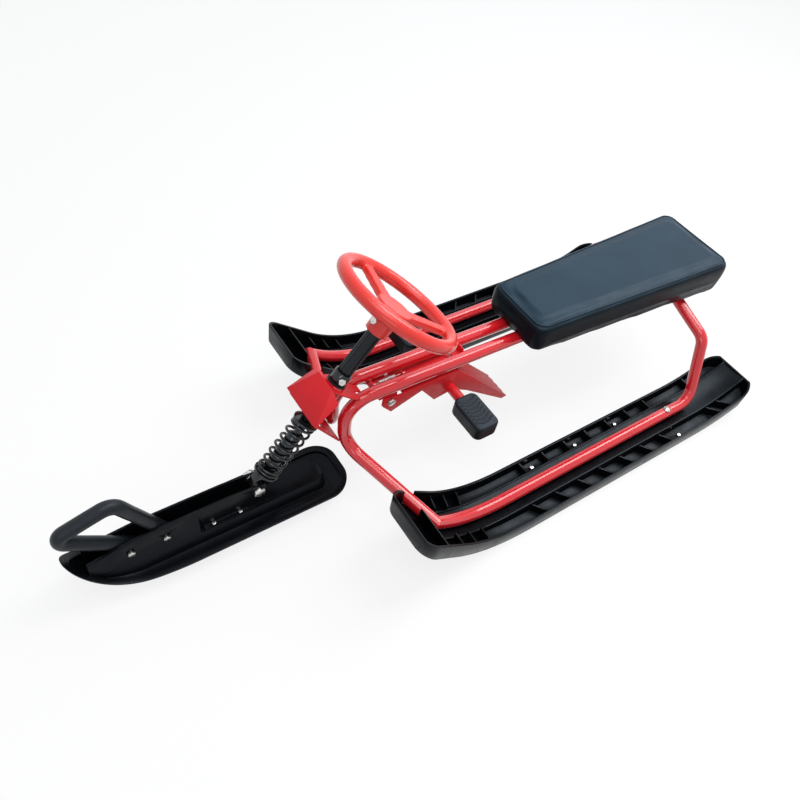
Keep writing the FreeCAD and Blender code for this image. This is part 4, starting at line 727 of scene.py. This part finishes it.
class SLED_OT_brake(Dress, bpy.types.Operator):
    """Paint the brake plate and bar, mould the pedals and finish the return spring"""

    bl_idname = "sled.brake"
    bl_label = "Brake"

    def execute(self, context):
        finish = context.scene.sled_finish
        self.dress(("brake_flap",), finish.edge, "red_plate")
        self.dress(("pedal_bar",), finish.edge)
        for side in ("left", "right"):
            blended(side + "_pedal", finish.mould_voxel * PEDAL_GRID_SHARE, PEDAL_MELT)
        polished("pull_spring")
        return {"FINISHED"}


class SLED_OT_fasteners(Dress, bpy.types.Operator):
    """Plate every bolt, nut, screw and spacer"""

    bl_idname = "sled.fasteners"
    bl_label = "Fasteners"

    def execute(self, context):
        names = ("seat_bolts", "rail_bolts", "rail_nuts", "ski_screws", "collar_bolt", "collar_nut",
                 "wheel_bolt", "wheel_nut", "ski_pivot_bolt", "ski_pivot_nut", "ski_pivot_spacers",
                 "loop_bolts", "loop_nuts", "cheek_screws", "brake_pin", "brake_pin_nut")
        self.dress(names, context.scene.sled_finish.edge)
        return {"FINISHED"}


def seen(tree):
    """One for rays from the camera and from mirrors, so that metal shows the white stage too."""
    path = add(tree, "ShaderNodeLightPath")
    total = path.outputs["Is Camera Ray"]
    for label in ("Is Glossy Ray", "Is Transmission Ray"):
        node = add(tree, "ShaderNodeMath", operation="MAXIMUM")
        tree.links.new(total, node.inputs[0])
        tree.links.new(path.outputs[label], node.inputs[1])
        total = node.outputs[0]
    return total


def mixed_shader(tree, share, first, second, end):
    """Lead a mix of two shaders to the end of a material or world."""
    mix = add(tree, "ShaderNodeMixShader")
    tree.links.new(share, mix.inputs[0])
    tree.links.new(first, mix.inputs[1])
    tree.links.new(second, mix.inputs[2])
    tree.links.new(mix.outputs["Shader"], tree.nodes[end].inputs["Surface"])


def white_floor():
    """Floor that looks white with a faint shadow and lights the object as pale paper."""
    mat = bpy.data.materials.new("floor_white")
    mat.use_nodes = True
    tree = mat.node_tree
    shader = tree.nodes["Principled BSDF"]
    shader.inputs["Roughness"].default_value = FLOOR_ROUGHNESS
    glow = add(tree, "ShaderNodeEmission")
    view = seen(tree)
    tree.links.new(spread(tree, view, 0.0, 1.0, FLOOR_PAPER, 1.0), shader.inputs["Base Color"])
    share = spread(tree, view, 0.0, 1.0, 0.0, FLOOR_WHITE_SHARE)
    mixed_shader(tree, share, shader.outputs["BSDF"], glow.outputs["Emission"], "Material Output")
    return mat


def studio_sky(strength):
    """World that looks white and lights the object evenly and less strongly."""
    world = bpy.data.worlds.new("studio")
    world.use_nodes = True
    tree = world.node_tree
    sky = tree.nodes["Background"]
    sky.inputs["Color"].default_value = SKY_COLOUR
    sky.inputs["Strength"].default_value = strength
    white = add(tree, "ShaderNodeBackground")
    white.inputs["Color"].default_value = WHITE
    mixed_shader(tree, seen(tree), sky.outputs["Background"], white.outputs["Background"], "World Output")
    return world


class SoftBox(NamedTuple):
    """Place, aim and size of one lamp in metres; its power is a stage setting."""

    setting: str
    place: tuple
    aim: tuple
    size: tuple
    colour: tuple = (1, 1, 1)


SOFT_BOXES = {
    "key_box": SoftBox("key", (-1.5, 0.0, 2.3), (0.0, 0.0, 0.2), (0.95, 2.2)),
    "top_box": SoftBox("top", (0.5, 0.6, 2.4), (0.1, 0.0, 0.2), (1.6, 1.2)),
    "sheen_box": SoftBox("sheen", (-2.0, -1.5, 2.0), (0.0, 0.0, 0.2), (1.5, 1.5), (0.66, 0.84, 1.0)),
    "fill_box": SoftBox("fill", (1.9, 1.6, 1.1), (0.0, 0.0, 0.2), (1.3, 0.4), (0.94, 0.97, 1.0)),
}


def hang_soft_box(name, box, watts):
    """Rectangular lamp that faces its aim."""
    data = bpy.data.lights.new(name, "AREA")
    data.shape = "RECTANGLE"
    data.size, data.size_y = box.size
    data.energy = watts
    data.color = box.colour
    obj = bpy.data.objects.new(name, data)
    obj.location = box.place
    obj.rotation_euler = (Vector(box.aim) - Vector(box.place)).to_track_quat("-Z", "Y").to_euler()
    bpy.context.scene.collection.objects.link(obj)


def photo_camera(lens):
    """Camera at the photo's place and angle."""
    azimuth, elevation, roll = (math.radians(a) for a in CAMERA_ANGLES)
    level = math.cos(elevation)
    back = Vector((math.sin(azimuth) * level, -math.cos(azimuth) * level, math.sin(elevation)))
    right = (-back).cross(Vector((0, 0, 1))).normalized()
    up = right.cross(-back)
    turned = right * math.cos(roll) + up * math.sin(roll)
    over = up * math.cos(roll) - right * math.sin(roll)
    data = bpy.data.cameras.new("photo_camera")
    data.lens = lens
    data.sensor_width = CAMERA_SENSOR
    data.clip_start = CAMERA_CLIP
    camera = bpy.data.objects.new("photo_camera", data)
    basis = Matrix((turned, over, back)).transposed().to_4x4()
    camera.matrix_world = Matrix.Translation(CAMERA_PLACE) @ basis
    bpy.context.scene.collection.objects.link(camera)
    bpy.context.scene.camera = camera


class SLED_OT_stage(bpy.types.Operator):
    """Set the white floor, the soft boxes, the sky and the camera"""

    bl_idname = "sled.stage"
    bl_label = "Stage"

    def execute(self, context):
        stage = context.scene.sled_stage
        mesh = bmesh.new()
        bmesh.ops.create_grid(mesh, x_segments=1, y_segments=1, size=FLOOR_HALF)
        floor = to_object(mesh, "floor")
        floor.location.z = -FLOOR_DROP
        floor.data.materials.append(white_floor())
        context.scene.collection.objects.link(floor)
        for name, box in SOFT_BOXES.items():
            hang_soft_box(name, box, getattr(stage, box.setting))
        context.scene.world = studio_sky(stage.sky)
        context.scene.view_settings.view_transform = "Standard"
        photo_camera(stage.lens)
        return {"FINISHED"}


OPERATORS = (SLED_OT_frame_tubes, SLED_OT_head, SLED_OT_seat, SLED_OT_rear_skis, SLED_OT_steering,
             SLED_OT_strut, SLED_OT_front_ski, SLED_OT_brake, SLED_OT_fasteners, SLED_OT_stage)


class SLED_PT_looks(bpy.types.Panel):
    """Settings and buttons of the sled's looks"""

    bl_idname = "SLED_PT_looks"
    bl_label = "Sled looks"
    bl_space_type = "VIEW_3D"
    bl_region_type = "UI"
    bl_category = "Sled"

    def draw(self, context):
        scene = context.scene
        for group in (scene.sled_finish, scene.sled_colours, scene.sled_seat, scene.sled_stage):
            for name in group.bl_rna.properties.keys():
                if name not in ("rna_type", "name"):
                    self.layout.prop(group, name)
        for operator in OPERATORS:
            self.layout.operator(operator.bl_idname)


CLASSES = (SledFinish, SledColours, SledSeat, SledStage) + OPERATORS + (SLED_PT_looks,)


def register():
    for cls in CLASSES:
        bpy.utils.register_class(cls)
    bpy.types.Scene.sled_finish = PointerProperty(type=SledFinish)
    bpy.types.Scene.sled_colours = PointerProperty(type=SledColours)
    bpy.types.Scene.sled_seat = PointerProperty(type=SledSeat)
    bpy.types.Scene.sled_stage = PointerProperty(type=SledStage)


def unregister():
    del bpy.types.Scene.sled_stage
    del bpy.types.Scene.sled_seat
    del bpy.types.Scene.sled_colours
    del bpy.types.Scene.sled_finish
    for cls in reversed(CLASSES):
        bpy.utils.unregister_class(cls)


def main():
    register()
    bpy.ops.sled.frame_tubes()
    bpy.ops.sled.head()
    bpy.ops.sled.seat()
    bpy.ops.sled.rear_skis()
    bpy.ops.sled.steering()
    bpy.ops.sled.strut()
    bpy.ops.sled.front_ski()
    bpy.ops.sled.brake()
    bpy.ops.sled.fasteners()
    bpy.ops.sled.stage()


if __name__ == "__main__":
    main()
